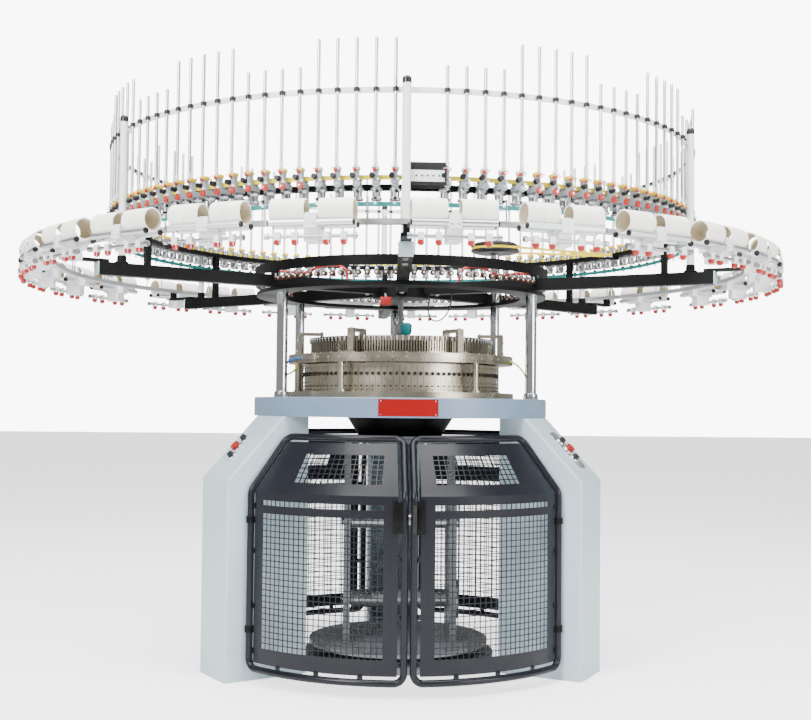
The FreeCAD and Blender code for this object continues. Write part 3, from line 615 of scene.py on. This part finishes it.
# %% Bezels round the push buttons, and the right leg's plate
BUTTONS = (("start", -0.018, 0.124, 0.013), ("stop", -0.042, 0.172, 0.019), ("inch", -0.036, 0.220, 0.013))
SHOULDER_R, SHOULDER_Z = 0.906, 0.812
UP_SLOPE = Vector((TABLE_R - SHOULDER_R, 0, TABLE_LOW - SHOULDER_Z)).normalized()
OUT_SLOPE = Vector((0, 1, 0)).cross(UP_SLOPE)


def slope_frame(sideways, upwards):
    """Matrix of a place on a leg's sloping face, with Z out of the face, at angle 0."""
    place = Matrix((UP_SLOPE, Vector((0, 1, 0)), OUT_SLOPE)).transposed().to_4x4()
    spot = Vector((SHOULDER_R, sideways, SHOULDER_Z)) + UP_SLOPE * upwards
    return Matrix.Translation(spot) @ place


def make_bezels(side, leg_angle, mirror):
    bm = bmesh.new()
    for _, sideways, upwards, radius in BUTTONS:
        place = turn_z(leg_angle) @ slope_frame(mirror * sideways, upwards)
        inner, outer = radius + 0.0007, radius + 0.007
        profile = ((inner, 0.0), (outer, 0.0), (outer, 0.004), (outer - 0.002, 0.0075), (inner, 0.0085),
                   (inner, 0.0))
        add_turned(bm, profile, place, sides=32)
    finish_piece("button_bezels_" + side, bm, [FINISHES["chrome"]], "frame", "chrome")


PLATE_LENGTH, PLATE_WIDTH, PLATE_THICK = 0.205, 0.085, 0.0026


def make_control_plate():
    """A thin plate on the right leg's slope, with its four upright edges rounded."""
    bm = bmesh.new()
    place = turn_z(LEG_ANGLES[1]) @ slope_frame(0.032, 0.172)
    add_block(bm, (0, 0, 0), (1, 1, 1))
    size = Matrix.Diagonal((PLATE_LENGTH, PLATE_WIDTH, PLATE_THICK, 1.0))
    bmesh.ops.transform(bm, matrix=place @ size, verts=bm.verts)
    upright = [edge for edge in bm.edges if abs(edge.calc_length() - PLATE_THICK) < 1e-4]
    bmesh.ops.bevel(bm, geom=upright, offset=0.02, segments=6, affect="EDGES", profile=0.5, material=-1)
    finish_piece("control_plate_right", bm, [FINISHES["aluminium"]], "frame", "aluminium")


make_bezels("left", LEG_ANGLES[0], 1)
make_bezels("right", LEG_ANGLES[1], -1)
make_control_plate()


# %% Screws on the legs
LEG_SCREW_HEIGHTS = (0.06, 0.42, 0.76)


def make_leg_screws():
    bm = bmesh.new()
    for height in LEG_SCREW_HEIGHTS:
        for side in (-1, 1):
            add_rod(bm, (SHOULDER_R - 0.0005, side * 0.1, height), (SHOULDER_R + 0.003, side * 0.1, height),
                    0.006, 0.005, sides=14)
    whole = copy_round(bm, [turn_z(angle) for angle in LEG_ANGLES])
    finish_piece("leg_screws", whole, [SCREW], "frame", "steel")


make_leg_screws()

# %% [markdown]
# ## Knitting head
# The cam boxes are the busiest part: every box has a round adjusting dial, a row of screws and two slots,
# drawn as dark patches of painted shade. The gauge lines on the sinker ring and the needle tips behind the
# fingers complete it.

# %% Dials and screws on the cam boxes
CAM_COUNT = 108
DIAL_Z = 1.2545
CAM_SCREW_HEIGHTS = (1.190, 1.2185, 1.283)
# Height and width of the dark patches that paint the shade inside each cam box's two slots.
CAM_SLOTS = ((1.2020, 0.0105), (1.1850, 0.0040))


def cam_turns(count=CAM_COUNT):
    pitch = 360.0 / count
    return [turn_z(pitch * (index + 0.5)) for index in range(count)]


def make_cam_details():
    """One box's dial, screws and slots, at angle 0 and copied to every box."""
    bm = bmesh.new()
    add_rod(bm, (CAM_R - 0.0005, 0, DIAL_Z), (CAM_R + 0.004, 0, DIAL_Z), 0.0100, 0.0092, sides=16)
    for height in CAM_SCREW_HEIGHTS:
        add_rod(bm, (CAM_R - 0.0005, 0, height), (CAM_R + 0.0022, 0, height), 0.0030, 0.0025, sides=8)
    old = set(bm.faces)
    add_rod(bm, (CAM_R + 0.0041, 0, DIAL_Z), (CAM_R + 0.0075, 0, DIAL_Z), 0.0078, 0.0068, sides=14)
    # The slots are thin dark blocks on the box face: painted shade for the inside of the slot holes.
    for height, width in CAM_SLOTS:
        add_block(bm, (CAM_R + 0.0026, 0, height), (0.0012, width, 0.0052))
    paint_faces(bm, old, 1)
    finish_piece("cam_dials", copy_round(bm, cam_turns()), [FINISHES["nickel"], DARK_GAP], "frame", "nickel")


make_cam_details()


# %% Bands round the cam boxes, and the painted shade behind the yarn fingers
def make_cam_bands():
    """Three raised bands round the row of cam boxes."""
    bm = bmesh.new()
    for low, high, stand in ((CAM_LOW + 0.001, CAM_LOW + 0.007, 0.005), (1.2005, 1.2035, 0.0022),
                             (1.290, 1.2965, 0.004)):
        add_band(bm, CAM_R - 0.001, CAM_R + stand, low, high, sides=160)
    finish_piece("cam_bands", bm, [FINISHES["nickel"]], "frame", "nickel")


FINGER_ROOT_R = 0.400


def make_finger_shade():
    """A dark band that paints the shade in the grooves between the yarn fingers."""
    bm = bmesh.new()
    base = SINKER_TOP + 0.0085
    add_band(bm, FINGER_ROOT_R - 0.001, FINGER_ROOT_R + 0.0006, base, base + 0.046, sides=216)
    finish_piece("finger_shade", bm, [DARK_GAP], "frame", "black_plastic")


make_cam_bands()
make_finger_shade()


# %% Screws and gauge lines on the sinker ring
def make_ring_screws():
    bm = bmesh.new()
    middle = (SINKER_TOP + bottom_of("sinker_ring")) / 2
    add_rod(bm, (SINKER_R - 0.0004, 0, middle), (SINKER_R + 0.003, 0, middle), 0.0042, 0.0036, sides=10)
    add_rod(bm, (SINKER_R - 0.02, 0, SINKER_TOP), (SINKER_R - 0.02, 0, SINKER_TOP + 0.003), 0.005, 0.0042,
            sides=10)
    finish_piece("sinker_ring_screws", copy_round(bm, cam_turns(54)), [SCREW], "frame", "steel")


GAUGE_LINES = 216


def make_gauge_lines():
    bm = bmesh.new()
    low = bottom_of("sinker_ring")
    add_block(bm, (SINKER_R + 0.0002, 0, low + 0.008), (0.0008, 0.0012, 0.012))
    whole = copy_round(bm, [turn_z(index * 360.0 / GAUGE_LINES) for index in range(GAUGE_LINES)])
    finish_piece("gauge_lines", whole, [DARK_GAP], "frame", "black_plastic")


make_ring_screws()
make_gauge_lines()


# %% Yarn eyelets on the finger ring, and the needles behind it
EYELET_PLACE_R = 0.412


def make_eyelets():
    bm = bmesh.new()
    radius = EYELET_PLACE_R
    add_block(bm, (radius, 0, FINGER_TOP - 0.010), (0.006, 0.0065, 0.022), bevel=0.0012)
    old = set(bm.faces)
    add_rod(bm, (radius + 0.0005, 0, FINGER_TOP - 0.009), (radius + 0.0052, 0, FINGER_TOP - 0.009), 0.0024,
            sides=10)
    paint_faces(bm, old, 1)
    finish_piece("yarn_eyelets", copy_round(bm, cam_turns()), [FINISHES["steel"], CERAMIC], "frame", "steel")


NEEDLE_COUNT = 720


def make_needles():
    bm = bmesh.new()
    top = top_of("needle_cylinder")
    radius = reach_of("needle_cylinder") - 0.004
    add_block(bm, (radius, 0, top + 0.009), (0.0016, 0.0007, 0.018))
    add_rod(bm, (radius + 0.0006, 0, top + 0.0178), (radius - 0.003, 0, top + 0.0178), 0.0005, sides=5)
    whole = copy_round(bm, cam_turns(NEEDLE_COUNT))
    finish_piece("needles", whole, [FINISHES["chrome"]], "cylinder", "chrome", smooth=False)


make_eyelets()
make_needles()


# %% Screws on the gates, and collars at the column feet
GATE_FACE_R = 0.468
BEAM_SCREW_PLACES = (0.36, 0.458)
GATE_SCREW_LEVELS = (1.36, 1.41)


def make_gate_screws():
    bm = bmesh.new()
    top = top_of("ring_gates")
    for radius in BEAM_SCREW_PLACES:
        add_rod(bm, (radius, 0, top), (radius, 0, top + 0.004), 0.0062, 0.0055, sides=12)
    for height in GATE_SCREW_LEVELS:
        add_rod(bm, (GATE_FACE_R - 0.0005, 0, height), (GATE_FACE_R + 0.004, 0, height), 0.005, 0.0045,
                sides=12)
    whole = copy_round(bm, [turn_z(angle) for angle in range(0, 360, 60)])
    finish_piece("gate_screws", whole, [SCREW], "frame", "steel")


COLUMN_PLACES = ((0.605, 210.0), (0.625, 331.5), (0.605, 90.0), (0.565, 146.5))


def make_column_collars():
    whole = bmesh.new()
    for radius, angle in COLUMN_PLACES:
        centre = polar(radius, angle, TABLE_TOP + 0.012)
        add_turned(whole, ((0.0245, 0.0), (0.031, 0.0), (0.030, 0.010), (0.0245, 0.014), (0.0245, 0.0)),
                   Matrix.Translation(centre), sides=32)
    finish_piece("column_collars", whole, [FINISHES["steel"]], "frame", "steel")


make_gate_screws()
make_column_collars()

# %% [markdown]
# ## Spider, band ring and upper tubes
# Pale grey caps close the arms' ends. The tube ring has a black clip at every tube, and each post ends in
# a black cap. White ends guide the yarn out of the tubes.

# %% Arm caps and bolts, post caps and feet
POST_PLACE_R = 1.318
ARM_BOLT_PLACES = (0.18, 0.60, 1.21, 1.36)
ARM_TURNS = [turn_z(angle) for angle in ARM_ANGLES]


def make_arm_caps():
    bm = bmesh.new()
    add_block(bm, (ARM_END + 0.0035, 0, (ARM_LOW + ARM_TOP) / 2), (0.006, 0.052, 0.052), bevel=0.002)
    finish_piece("arm_end_caps", copy_round(bm, ARM_TURNS), [FINISHES["leg_paint"]], "frame", "grey_plastic")


def make_arm_bolts():
    bm = bmesh.new()
    for radius in ARM_BOLT_PLACES:
        add_rod(bm, (radius, 0, ARM_LOW - 0.006), (radius, 0, ARM_LOW), 0.009, sides=6)
        add_rod(bm, (radius, 0, ARM_LOW - 0.0015), (radius, 0, ARM_LOW + 0.0002), 0.012, sides=18)
    finish_piece("arm_bolts", copy_round(bm, ARM_TURNS), [SCREW], "frame", "steel")


def make_on_posts(name, profile, level, sides, finish):
    """A turned piece on every post, at one level."""
    bm = bmesh.new()
    add_turned(bm, profile, Matrix.Translation((POST_PLACE_R, 0, level)), sides=sides)
    finish_piece(name, copy_round(bm, ARM_TURNS), [FINISHES[finish]], "frame", finish)


make_arm_caps()
make_arm_bolts()
make_on_posts("post_caps", ((0.0, 0.014), (0.010, 0.013), (0.016, 0.006), (0.0165, -0.012), (0.0152, -0.012),
                            (0.0152, 0.0), (0.0, 0.0)), top_of("tube_ring"), 20, "black_plastic")
make_on_posts("post_feet", ((0.0152, 0.0), (0.027, 0.0), (0.027, 0.006), (0.019, 0.010), (0.018, 0.030),
                            (0.0152, 0.032), (0.0152, 0.0)), ARM_TOP, 24, "black_paint")

# %% Clips and tube ends
TUBE_COUNT = 117
TUBE_GAP = 8.0
TUBE_PLACE_R = 1.294
RING_MIDDLE = 2.221


def tube_turns():
    pitch = (360.0 - TUBE_GAP) / (TUBE_COUNT - 1)
    return [turn_z(FRONT + TUBE_GAP / 2 + pitch * index) for index in range(TUBE_COUNT)]


def make_tube_clips():
    bm = bmesh.new()
    add_block(bm, (TUBE_PLACE_R - 0.008, 0, RING_MIDDLE), (0.022, 0.0195, 0.013), bevel=0.0015)
    add_band(bm, 0.0061, 0.0105, -0.007, 0.007, Matrix.Translation((TUBE_PLACE_R, 0, RING_MIDDLE)), sides=12)
    finish_piece("tube_clips", copy_round(bm, tube_turns()), [FINISHES["black_plastic"]], "frame",
                 "black_plastic")


def make_tube_ends():
    bm = bmesh.new()
    bottom = bottom_of("yarn_tubes")
    add_turned(bm, ((0.0036, -0.006), (0.0075, -0.004), (0.0075, 0.012), (0.0061, 0.012), (0.0061, 0.0),
                    (0.0036, 0.0), (0.0036, -0.006)), Matrix.Translation((TUBE_PLACE_R, 0, bottom)), sides=12)
    finish_piece("tube_ends", copy_round(bm, tube_turns()), [FINISHES["white_plastic"]], "frame",
                 "white_plastic")


make_tube_clips()
make_tube_ends()


# %% Yarn guides that hang from the band ring
def make_band_guides():
    bm = bmesh.new()
    radius = BAND_R - 0.012
    add_block(bm, (radius, 0, BAND_LOW - 0.006), (0.006, 0.014, 0.026), bevel=0.001)
    old = set(bm.faces)
    level = BAND_LOW - 0.014
    add_rod(bm, (radius - 0.008, 0, level), (radius + 0.008, 0, level), 0.0115, 0.0105, sides=14)
    paint_faces(bm, old, 1)
    old = set(bm.faces)
    add_rod(bm, (radius - 0.0085, 0, level), (radius + 0.0085, 0, level), 0.004, sides=10)
    paint_faces(bm, old, 2)
    finish_piece("band_guides", copy_round(bm, cam_turns()), [SCREW, BROWN, CERAMIC], "frame",
                 "black_plastic")


make_band_guides()

# %% [markdown]
# ## Storage feeders
# Each feeder has a cap with an orange-red lamp, a black tension knob, a bent wire guide and a ceramic eyelet
# on a small arm below. One is made in detail and copied under every tube. The caps are yellow, except for the
# feeders beside the gap at the front, which are plain white and grey.

# %% One feeder's small parts
FEEDER_TOP = 1.942
WIRE_R = 0.0016
KNOB_Z = 1.919
DISC_Z = 1.889


def add_wire(bm, points, radius):
    for start, end in zip(points, points[1:]):
        add_rod(bm, start, end, radius, sides=5)


def make_feeder_details(name, turns, cap, face_disc):
    """Cap, lamp, black knobs, round disc, wires and ceramic eyes of one feeder, copied to `turns`."""
    bm = bmesh.new()
    add_block(bm, (1.280, 0, FEEDER_TOP + 0.005), (0.032, 0.023, 0.013), bevel=0.002)
    old = set(bm.faces)
    add_block(bm, (1.2955, -0.004, FEEDER_TOP - 0.002), (0.006, 0.012, 0.012), bevel=0.001)
    paint_faces(bm, old, 1)
    old = set(bm.faces)
    add_rod(bm, (1.2895, -0.012, KNOB_Z), (1.309, -0.012, KNOB_Z), 0.0105, 0.0085, sides=12)
    add_rod(bm, (1.2895, 0.006, 1.864), (1.296, 0.006, 1.864), 0.006, sides=10)
    add_block(bm, (1.297, 0.0, 1.838), (0.014, 0.010, 0.008), bevel=0.001)
    paint_faces(bm, old, 2)
    old = set(bm.faces)
    add_rod(bm, (1.2905, 0.003, DISC_Z), (1.2985, 0.003, DISC_Z), 0.0125, 0.0115, sides=14)
    paint_faces(bm, old, 3)
    old = set(bm.faces)
    add_wire(bm, ((1.286, 0.010, 1.935), (1.306, 0.015, 1.943), (1.311, 0.0, 1.945), (1.306, -0.015, 1.943)),
             WIRE_R)
    add_wire(bm, ((1.280, 0.0, 1.848), (1.297, 0.0, 1.842), (1.300, 0.0, 1.822)), WIRE_R)
    add_rod(bm, (1.2975, 0.003, DISC_Z), (1.303, 0.003, DISC_Z), 0.004, sides=8)
    paint_faces(bm, old, 4)
    old = set(bm.faces)
    add_rod(bm, (1.300, 0.0, 1.817), (1.300, 0.0, 1.825), 0.0052, 0.0042, sides=10)
    add_rod(bm, (1.2905, 0.010, 1.905), (1.301, 0.010, 1.905), 0.0045, sides=8)
    paint_faces(bm, old, 5)
    finish_piece(name, copy_round(bm, turns),
                 [cap, ORANGE, FINISHES["black_plastic"], face_disc, SCREW, CERAMIC], "frame", "grey_plastic")


print("feeder top at", FEEDER_TOP, "m")


# %% The coloured feeders and the plain ones
PLAIN_COUNT = 5
ALL_TURNS = tube_turns()
COLOURED_TURNS = ALL_TURNS[PLAIN_COUNT:-PLAIN_COUNT]
PLAIN_TURNS = ALL_TURNS[:PLAIN_COUNT] + ALL_TURNS[-PLAIN_COUNT:]
make_feeder_details("feeder_details", COLOURED_TURNS, YELLOW, ORANGE)
make_feeder_details("plain_feeder_details", PLAIN_TURNS, FINISHES["white_plastic"], FINISHES["grey_plastic"])


# %% Terminal box in the gap at the front of the feeder rail
STRIP_Z = 1.917


def make_terminal_box():
    """A black box with a white strip on its front and five round plugs in the strip."""
    bm = bmesh.new()
    add_block(bm, (1.262, 0.0, 1.925), (0.075, 0.135, 0.082), bevel=0.004)
    old = set(bm.faces)
    add_block(bm, (1.3005, 0.0, STRIP_Z), (0.003, 0.118, 0.040), bevel=0.001)
    paint_faces(bm, old, 1)
    old = set(bm.faces)
    for shift in (-0.04, -0.02, 0.0, 0.02, 0.04):
        add_rod(bm, (1.3018, shift, STRIP_Z), (1.3032, shift, STRIP_Z), 0.0035, sides=12)
    paint_faces(bm, old, 0)
    bmesh.ops.transform(bm, matrix=turn_z(FRONT + 1.0), verts=bm.verts)
    finish_piece("terminal_box", bm, [FINISHES["black_plastic"], FINISHES["white_plastic"]],
                 "frame", "black_plastic")


make_terminal_box()

# %% [markdown]
# ## Outer ring
# Twenty-seven devices carry ivory yarn cores on pairs of long rollers. The cores have a bevelled end and a
# darker board inside, so they are made again here with two finishes. Each stop sensor ends in a red lens.

# %% Where the devices stand
DEVICE_PLACE_R = 1.617
CORE_Z = 1.7408
CORE_R = 0.041
CORE_LENGTH = 0.057
CORE_WALL = 0.0048
SENSOR_R = 1.649
LENS_R, LENS_TOP = 0.0114, 1.642
SENSOR_OFFSETS = (-0.109, -0.0515, 0.0515, 0.109)
CORE_STARTS = (-0.1375, -0.080, 0.023, 0.0805)
DEVICE_PITCH = 13.0
DEVICE_TURNS = [turn_z(FRONT + 3.0 + 120.0 * third + DEVICE_PITCH * index)
                for third in range(3) for index in range(9)]
ALONG_Y = Matrix.Rotation(-math.pi / 2, 4, "X")


def make_cores():
    bm = bmesh.new()
    inner = CORE_R - CORE_WALL
    for start in CORE_STARTS:
        place = Matrix.Translation((DEVICE_PLACE_R, start, CORE_Z)) @ ALONG_Y
        old = set(bm.faces)
        add_turned(bm, ((inner, 0.0), (CORE_R - 0.001, 0.0), (CORE_R, 0.001), (CORE_R, CORE_LENGTH - 0.001),
                        (CORE_R - 0.001, CORE_LENGTH), (inner, CORE_LENGTH)), place, sides=28)
        paint_faces(bm, old, 0)
        old = set(bm.faces)
        add_turned(bm, ((inner, CORE_LENGTH), (inner, 0.0)), place, sides=28)
        paint_faces(bm, old, 1)
    bmesh.ops.remove_doubles(bm, verts=bm.verts, dist=1e-5)
    bmesh.ops.recalc_face_normals(bm, faces=bm.faces)
    whole = copy_round(bm, DEVICE_TURNS)
    cores = finish_piece("wound_cores", whole, [FINISHES["core_board"], CORE_INSIDE], "frame", "core_board")
    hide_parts("yarn_cores")


def make_lenses():
    bm = bmesh.new()
    for shift in SENSOR_OFFSETS:
        add_turned(bm, ((0.0, -0.0160), (0.005, -0.0158), (0.0095, -0.0130), (LENS_R, -0.007), (LENS_R, 0.0),
                        (0.0, 0.0)), Matrix.Translation((SENSOR_R, shift, LENS_TOP)), sides=14)
    lenses = copy_round(bm, DEVICE_TURNS)
    piece = finish_piece("sensor_lens_domes", lenses, [LENS], "frame", "red_plastic")
    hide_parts("sensor_lenses")


make_cores()
make_lenses()


# %% Device covers, roller caps, knobs and yarn pins
ROLLER_SHIFT, ROLLER_END, ROLLER_Z = 0.032, 0.1375, 1.6995
SENSOR_RAIL_Z = 1.655
PIN_PLACE_R = 1.53


def make_device_details():
    """Black caps on the roller and sensor rail ends, white covers, screws and yarn pins."""
    bm = bmesh.new()
    for side in (-1, 1):
        for end in (-1, 1):
            middle = (DEVICE_PLACE_R + side * ROLLER_SHIFT, end * ROLLER_END, ROLLER_Z)
            add_rod(bm, middle, (middle[0], middle[1] + end * 0.006, middle[2]), 0.0105, 0.0095, sides=14)
    for end in (-1, 1):
        add_rod(bm, (SENSOR_R, end * 0.142, SENSOR_RAIL_Z), (SENSOR_R, end * 0.150, SENSOR_RAIL_Z), 0.0098,
                0.0085, sides=16)
    old = set(bm.faces)
    add_block(bm, (DEVICE_PLACE_R + 0.04304, 0, 1.706), (0.004, 0.037, 0.040), bevel=0.0015)
    add_block(bm, (DEVICE_PLACE_R, 0, 1.7295), (0.070, 0.034, 0.004), bevel=0.0015)
    paint_faces(bm, old, 1)
    old = set(bm.faces)
    for shift in (-0.012, 0.012):
        add_rod(bm, (DEVICE_PLACE_R + 0.0435, shift, 1.694), (DEVICE_PLACE_R + 0.0451, shift, 1.694), 0.0032,
                sides=10)
    for shift in (-0.16, 0.16):
        add_rod(bm, (PIN_PLACE_R, shift, 1.726), (PIN_PLACE_R, shift, 1.800), 0.003, sides=8)
    paint_faces(bm, old, 2)
    whole = copy_round(bm, DEVICE_TURNS)
    finish_piece("device_details", whole, [FINISHES["black_plastic"], FINISHES["white_plastic"], SCREW],
                 "frame", "white_plastic")


def make_sensor_arms():
    """Small levers between sensor rail and lens, with a wire hook each."""
    bm = bmesh.new()
    for shift in SENSOR_OFFSETS:
        add_block(bm, (SENSOR_R + 0.009, shift, 1.651), (0.004, 0.011, 0.016), bevel=0.001)
        add_wire(bm, ((SENSOR_R + 0.006, shift + 0.006, 1.650), (SENSOR_R + 0.009, shift + 0.009, 1.634),
                      (SENSOR_R + 0.007, shift + 0.009, 1.627)), 0.0009)
    whole = copy_round(bm, DEVICE_TURNS)
    finish_piece("sensor_levers", whole, [FINISHES["white_plastic"]], "frame", "white_plastic")


make_device_details()
make_sensor_arms()


# %% Joint plates along the outer rail
def make_rail_joints():
    """A small plate with two bolts on the rail's outside, between the devices."""
    bm = bmesh.new()
    face = reach_of("roller_rail")
    middle = (bottom_of("roller_rail") + top_of("roller_rail")) / 2
    add_block(bm, (face + 0.0012, 0, middle), (0.003, 0.050, 0.015), bevel=0.001)
    for shift in (-0.016, 0.016):
        add_rod(bm, (face + 0.002, shift, middle), (face + 0.006, shift, middle), 0.0045, sides=6)
    whole = copy_round(bm, [turn_z(FRONT + 9.5 + DEVICE_PITCH * index) for index in range(27)])
    finish_piece("rail_joint_plates", whole, [FINISHES["aluminium"]], "frame", "aluminium")


make_rail_joints()

# %% [markdown]
# ## Drive belt and hub
# The belt wheel gets a black top plate with six screws. Under the hub hang a small red switch box and a
# round teal valve, on short rods.

# %% Belt wheel cover
DRIVE_R, DRIVE_ANGLE = 0.565, 33.5


def make_wheel_cover():
    bm = bmesh.new()
    centre = polar(DRIVE_R, DRIVE_ANGLE, top_of("quality_pulley"))
    add_turned(bm, ((0.0225, 0.0), (0.100, 0.0), (0.098, 0.003), (0.034, 0.004), (0.030, 0.016),
                    (0.0225, 0.016), (0.0225, 0.0)), Matrix.Translation(centre), sides=48)
    for index in range(6):
        spot = centre + polar(0.062, 60.0 * index, 0.003)
        add_rod(bm, spot, spot + Vector((0, 0, 0.006)), 0.006, sides=6)
    finish_piece("belt_wheel_cover", bm, [FINISHES["black_plastic"]], "drive", "black_plastic")


# %% Switch box and valve under the hub
def make_hub_blocks():
    """Red box and round teal valve, each on a short steel rod."""
    bm = bmesh.new()
    add_block(bm, (-0.075, -0.11, 1.585), (0.050, 0.034, 0.038), bevel=0.003)
    old = set(bm.faces)
    add_turned(bm, ((0.0, -0.03), (0.020, -0.028), (0.026, -0.012), (0.026, 0.016), (0.018, 0.026),
                    (0.0, 0.028)), Matrix.Translation((0.022, -0.038, 1.468)), sides=24)
    paint_faces(bm, old, 1)
    old = set(bm.faces)
    add_rod(bm, (0.0, -0.012, 1.475), (0.022, -0.038, 1.475), 0.006, sides=10)
    add_rod(bm, (-0.075, -0.11, 1.604), (-0.075, -0.11, 1.620), 0.006, sides=10)
    paint_faces(bm, old, 2)
    finish_piece("hub_blocks", bm, [FINISHES["red_plastic"], TEAL, SCREW], "frame", "red_plastic")


make_wheel_cover()
make_hub_blocks()

# %% [markdown]
# ## Doors
# The left door carries the lock plate, the right one the handle's rose. Small screws hold the perforated
# sheets to the lugs. They ride on the doors, so that they swing with them.

# %% Lock plate, handle rose and lug screws
DOOR_R = 0.822
LOCK_Z = 0.690


def make_lock_plate():
    bm = bmesh.new()
    add_block(bm, (-0.046, -(DOOR_R + 0.012), LOCK_Z), (0.040, 0.006, 0.120), bevel=0.002)
    for height in (LOCK_Z - 0.045, LOCK_Z + 0.045):
        add_rod(bm, (-0.046, -(DOOR_R + 0.015), height), (-0.046, -(DOOR_R + 0.018), height), 0.005, sides=12)
    add_rod(bm, (-0.046, -(DOOR_R + 0.015), LOCK_Z), (-0.046, -(DOOR_R + 0.0215), LOCK_Z), 0.009, 0.008,
            sides=20)
    finish_piece("lock_plate", bm, [FINISHES["black_paint"]], "door_left", "black_paint")


def make_handle_rose():
    bm = bmesh.new()
    add_block(bm, (0.046, -(DOOR_R + 0.010), LOCK_Z), (0.030, 0.005, 0.130), bevel=0.002)
    finish_piece("handle_rose", bm, [FINISHES["black_paint"]], "door_right", "black_paint")


def make_lug_screws(side, sign):
    """Screws along the door's two upright edges and its lower edge; `sign` mirrors the angles."""
    bm = bmesh.new()
    spots = []
    for z in (0.131, 0.311, 0.531, 0.711):
        spots.append((FRONT + sign * 2.35, DOOR_R + 0.002, z))
        spots.append((FRONT + sign * 47.75, DOOR_R + 0.0015, z))
    for angle in (13.0, 25.5, 38.0):
        spots.append((FRONT + sign * angle, DOOR_R + 0.002, 0.086))
    for angle, radius, z in spots:
        foot = polar(radius, angle, z)
        out = polar(1.0, angle)
        add_rod(bm, foot - out * 0.001, foot + out * 0.0025, 0.0055, 0.0045, sides=12)
    finish_piece("lug_screws_" + side, bm, [FINISHES["black_paint"]], "door_" + side, "black_paint")


make_lock_plate()
make_handle_rose()
make_lug_screws("left", -1)
make_lug_screws("right", 1)

# %% [markdown]
# ## Floor and light
# A pale floor and a bright, even sky stand for a white studio. Large soft lamps in front and above give the
# chrome and enamel something to reflect.

# %% Floor
FLOOR_GLOW = 0.4
FLOOR_SEEN = 1.6


def make_floor():
    bm = bmesh.new()
    bmesh.ops.create_grid(bm, x_segments=1, y_segments=1, size=40.0)
    mesh = bpy.data.meshes.new("floor")
    bm.to_mesh(mesh)
    bm.free()
    floor = bpy.data.objects.new("floor", mesh)
    floor.location.z = -0.0005
    bpy.context.scene.collection.objects.link(floor)
    material, shader, _ = start_finish("floor_white", paint_value(252, 252, 252), 0.01, (0.7, 0.8))
    shader.inputs["Emission Color"].default_value = (1.0, 1.0, 1.0, 1.0)
    nodes, links = material.node_tree.nodes, material.node_tree.links
    seen = nodes.new("ShaderNodeLightPath").outputs["Is Camera Ray"]
    links.new(map_value(nodes, links, seen, FLOOR_GLOW, FLOOR_SEEN), shader.inputs["Emission Strength"])
    mesh.materials.append(material)
    print("floor", round(floor.dimensions.x, 1), "m wide")


make_floor()


# %% World and lamps
SKY_LIGHT = 0.42
SKY_SEEN = 9.0


def make_world():
    world = bpy.data.worlds.new("studio")
    bpy.context.scene.world = world
    world.use_nodes = True
    nodes, links = world.node_tree.nodes, world.node_tree.links
    sky = nodes["Background"]
    sky.inputs["Color"].default_value = (1.0, 1.0, 1.0, 1.0)
    seen = nodes.new("ShaderNodeLightPath").outputs["Is Camera Ray"]
    links.new(map_value(nodes, links, seen, SKY_LIGHT, SKY_SEEN), sky.inputs["Strength"])


def add_lamp(name, place, target, size, power):
    data = bpy.data.lights.new(name, "AREA")
    data.shape = "RECTANGLE"
    data.size, data.size_y = size
    data.energy = power
    lamp = bpy.data.objects.new(name, data)
    aim = (Vector(target) - Vector(place)).to_track_quat("-Z", "Y").to_matrix().to_4x4()
    lamp.matrix_world = Matrix.Translation(Vector(place)) @ aim
    bpy.context.scene.collection.objects.link(lamp)
    print(name, power, "W")


make_world()
add_lamp("key_left", (-4.0, -5.5, 4.5), (0, 0, 1.2), (2.5, 2.5), 640.0)
add_lamp("fill_right", (4.5, -4.5, 2.5), (0, 0, 1.2), (2.5, 2.5), 300.0)
add_lamp("top", (0.0, -1.0, 5.5), (0, 0, 1.0), (5.0, 5.0), 900.0)
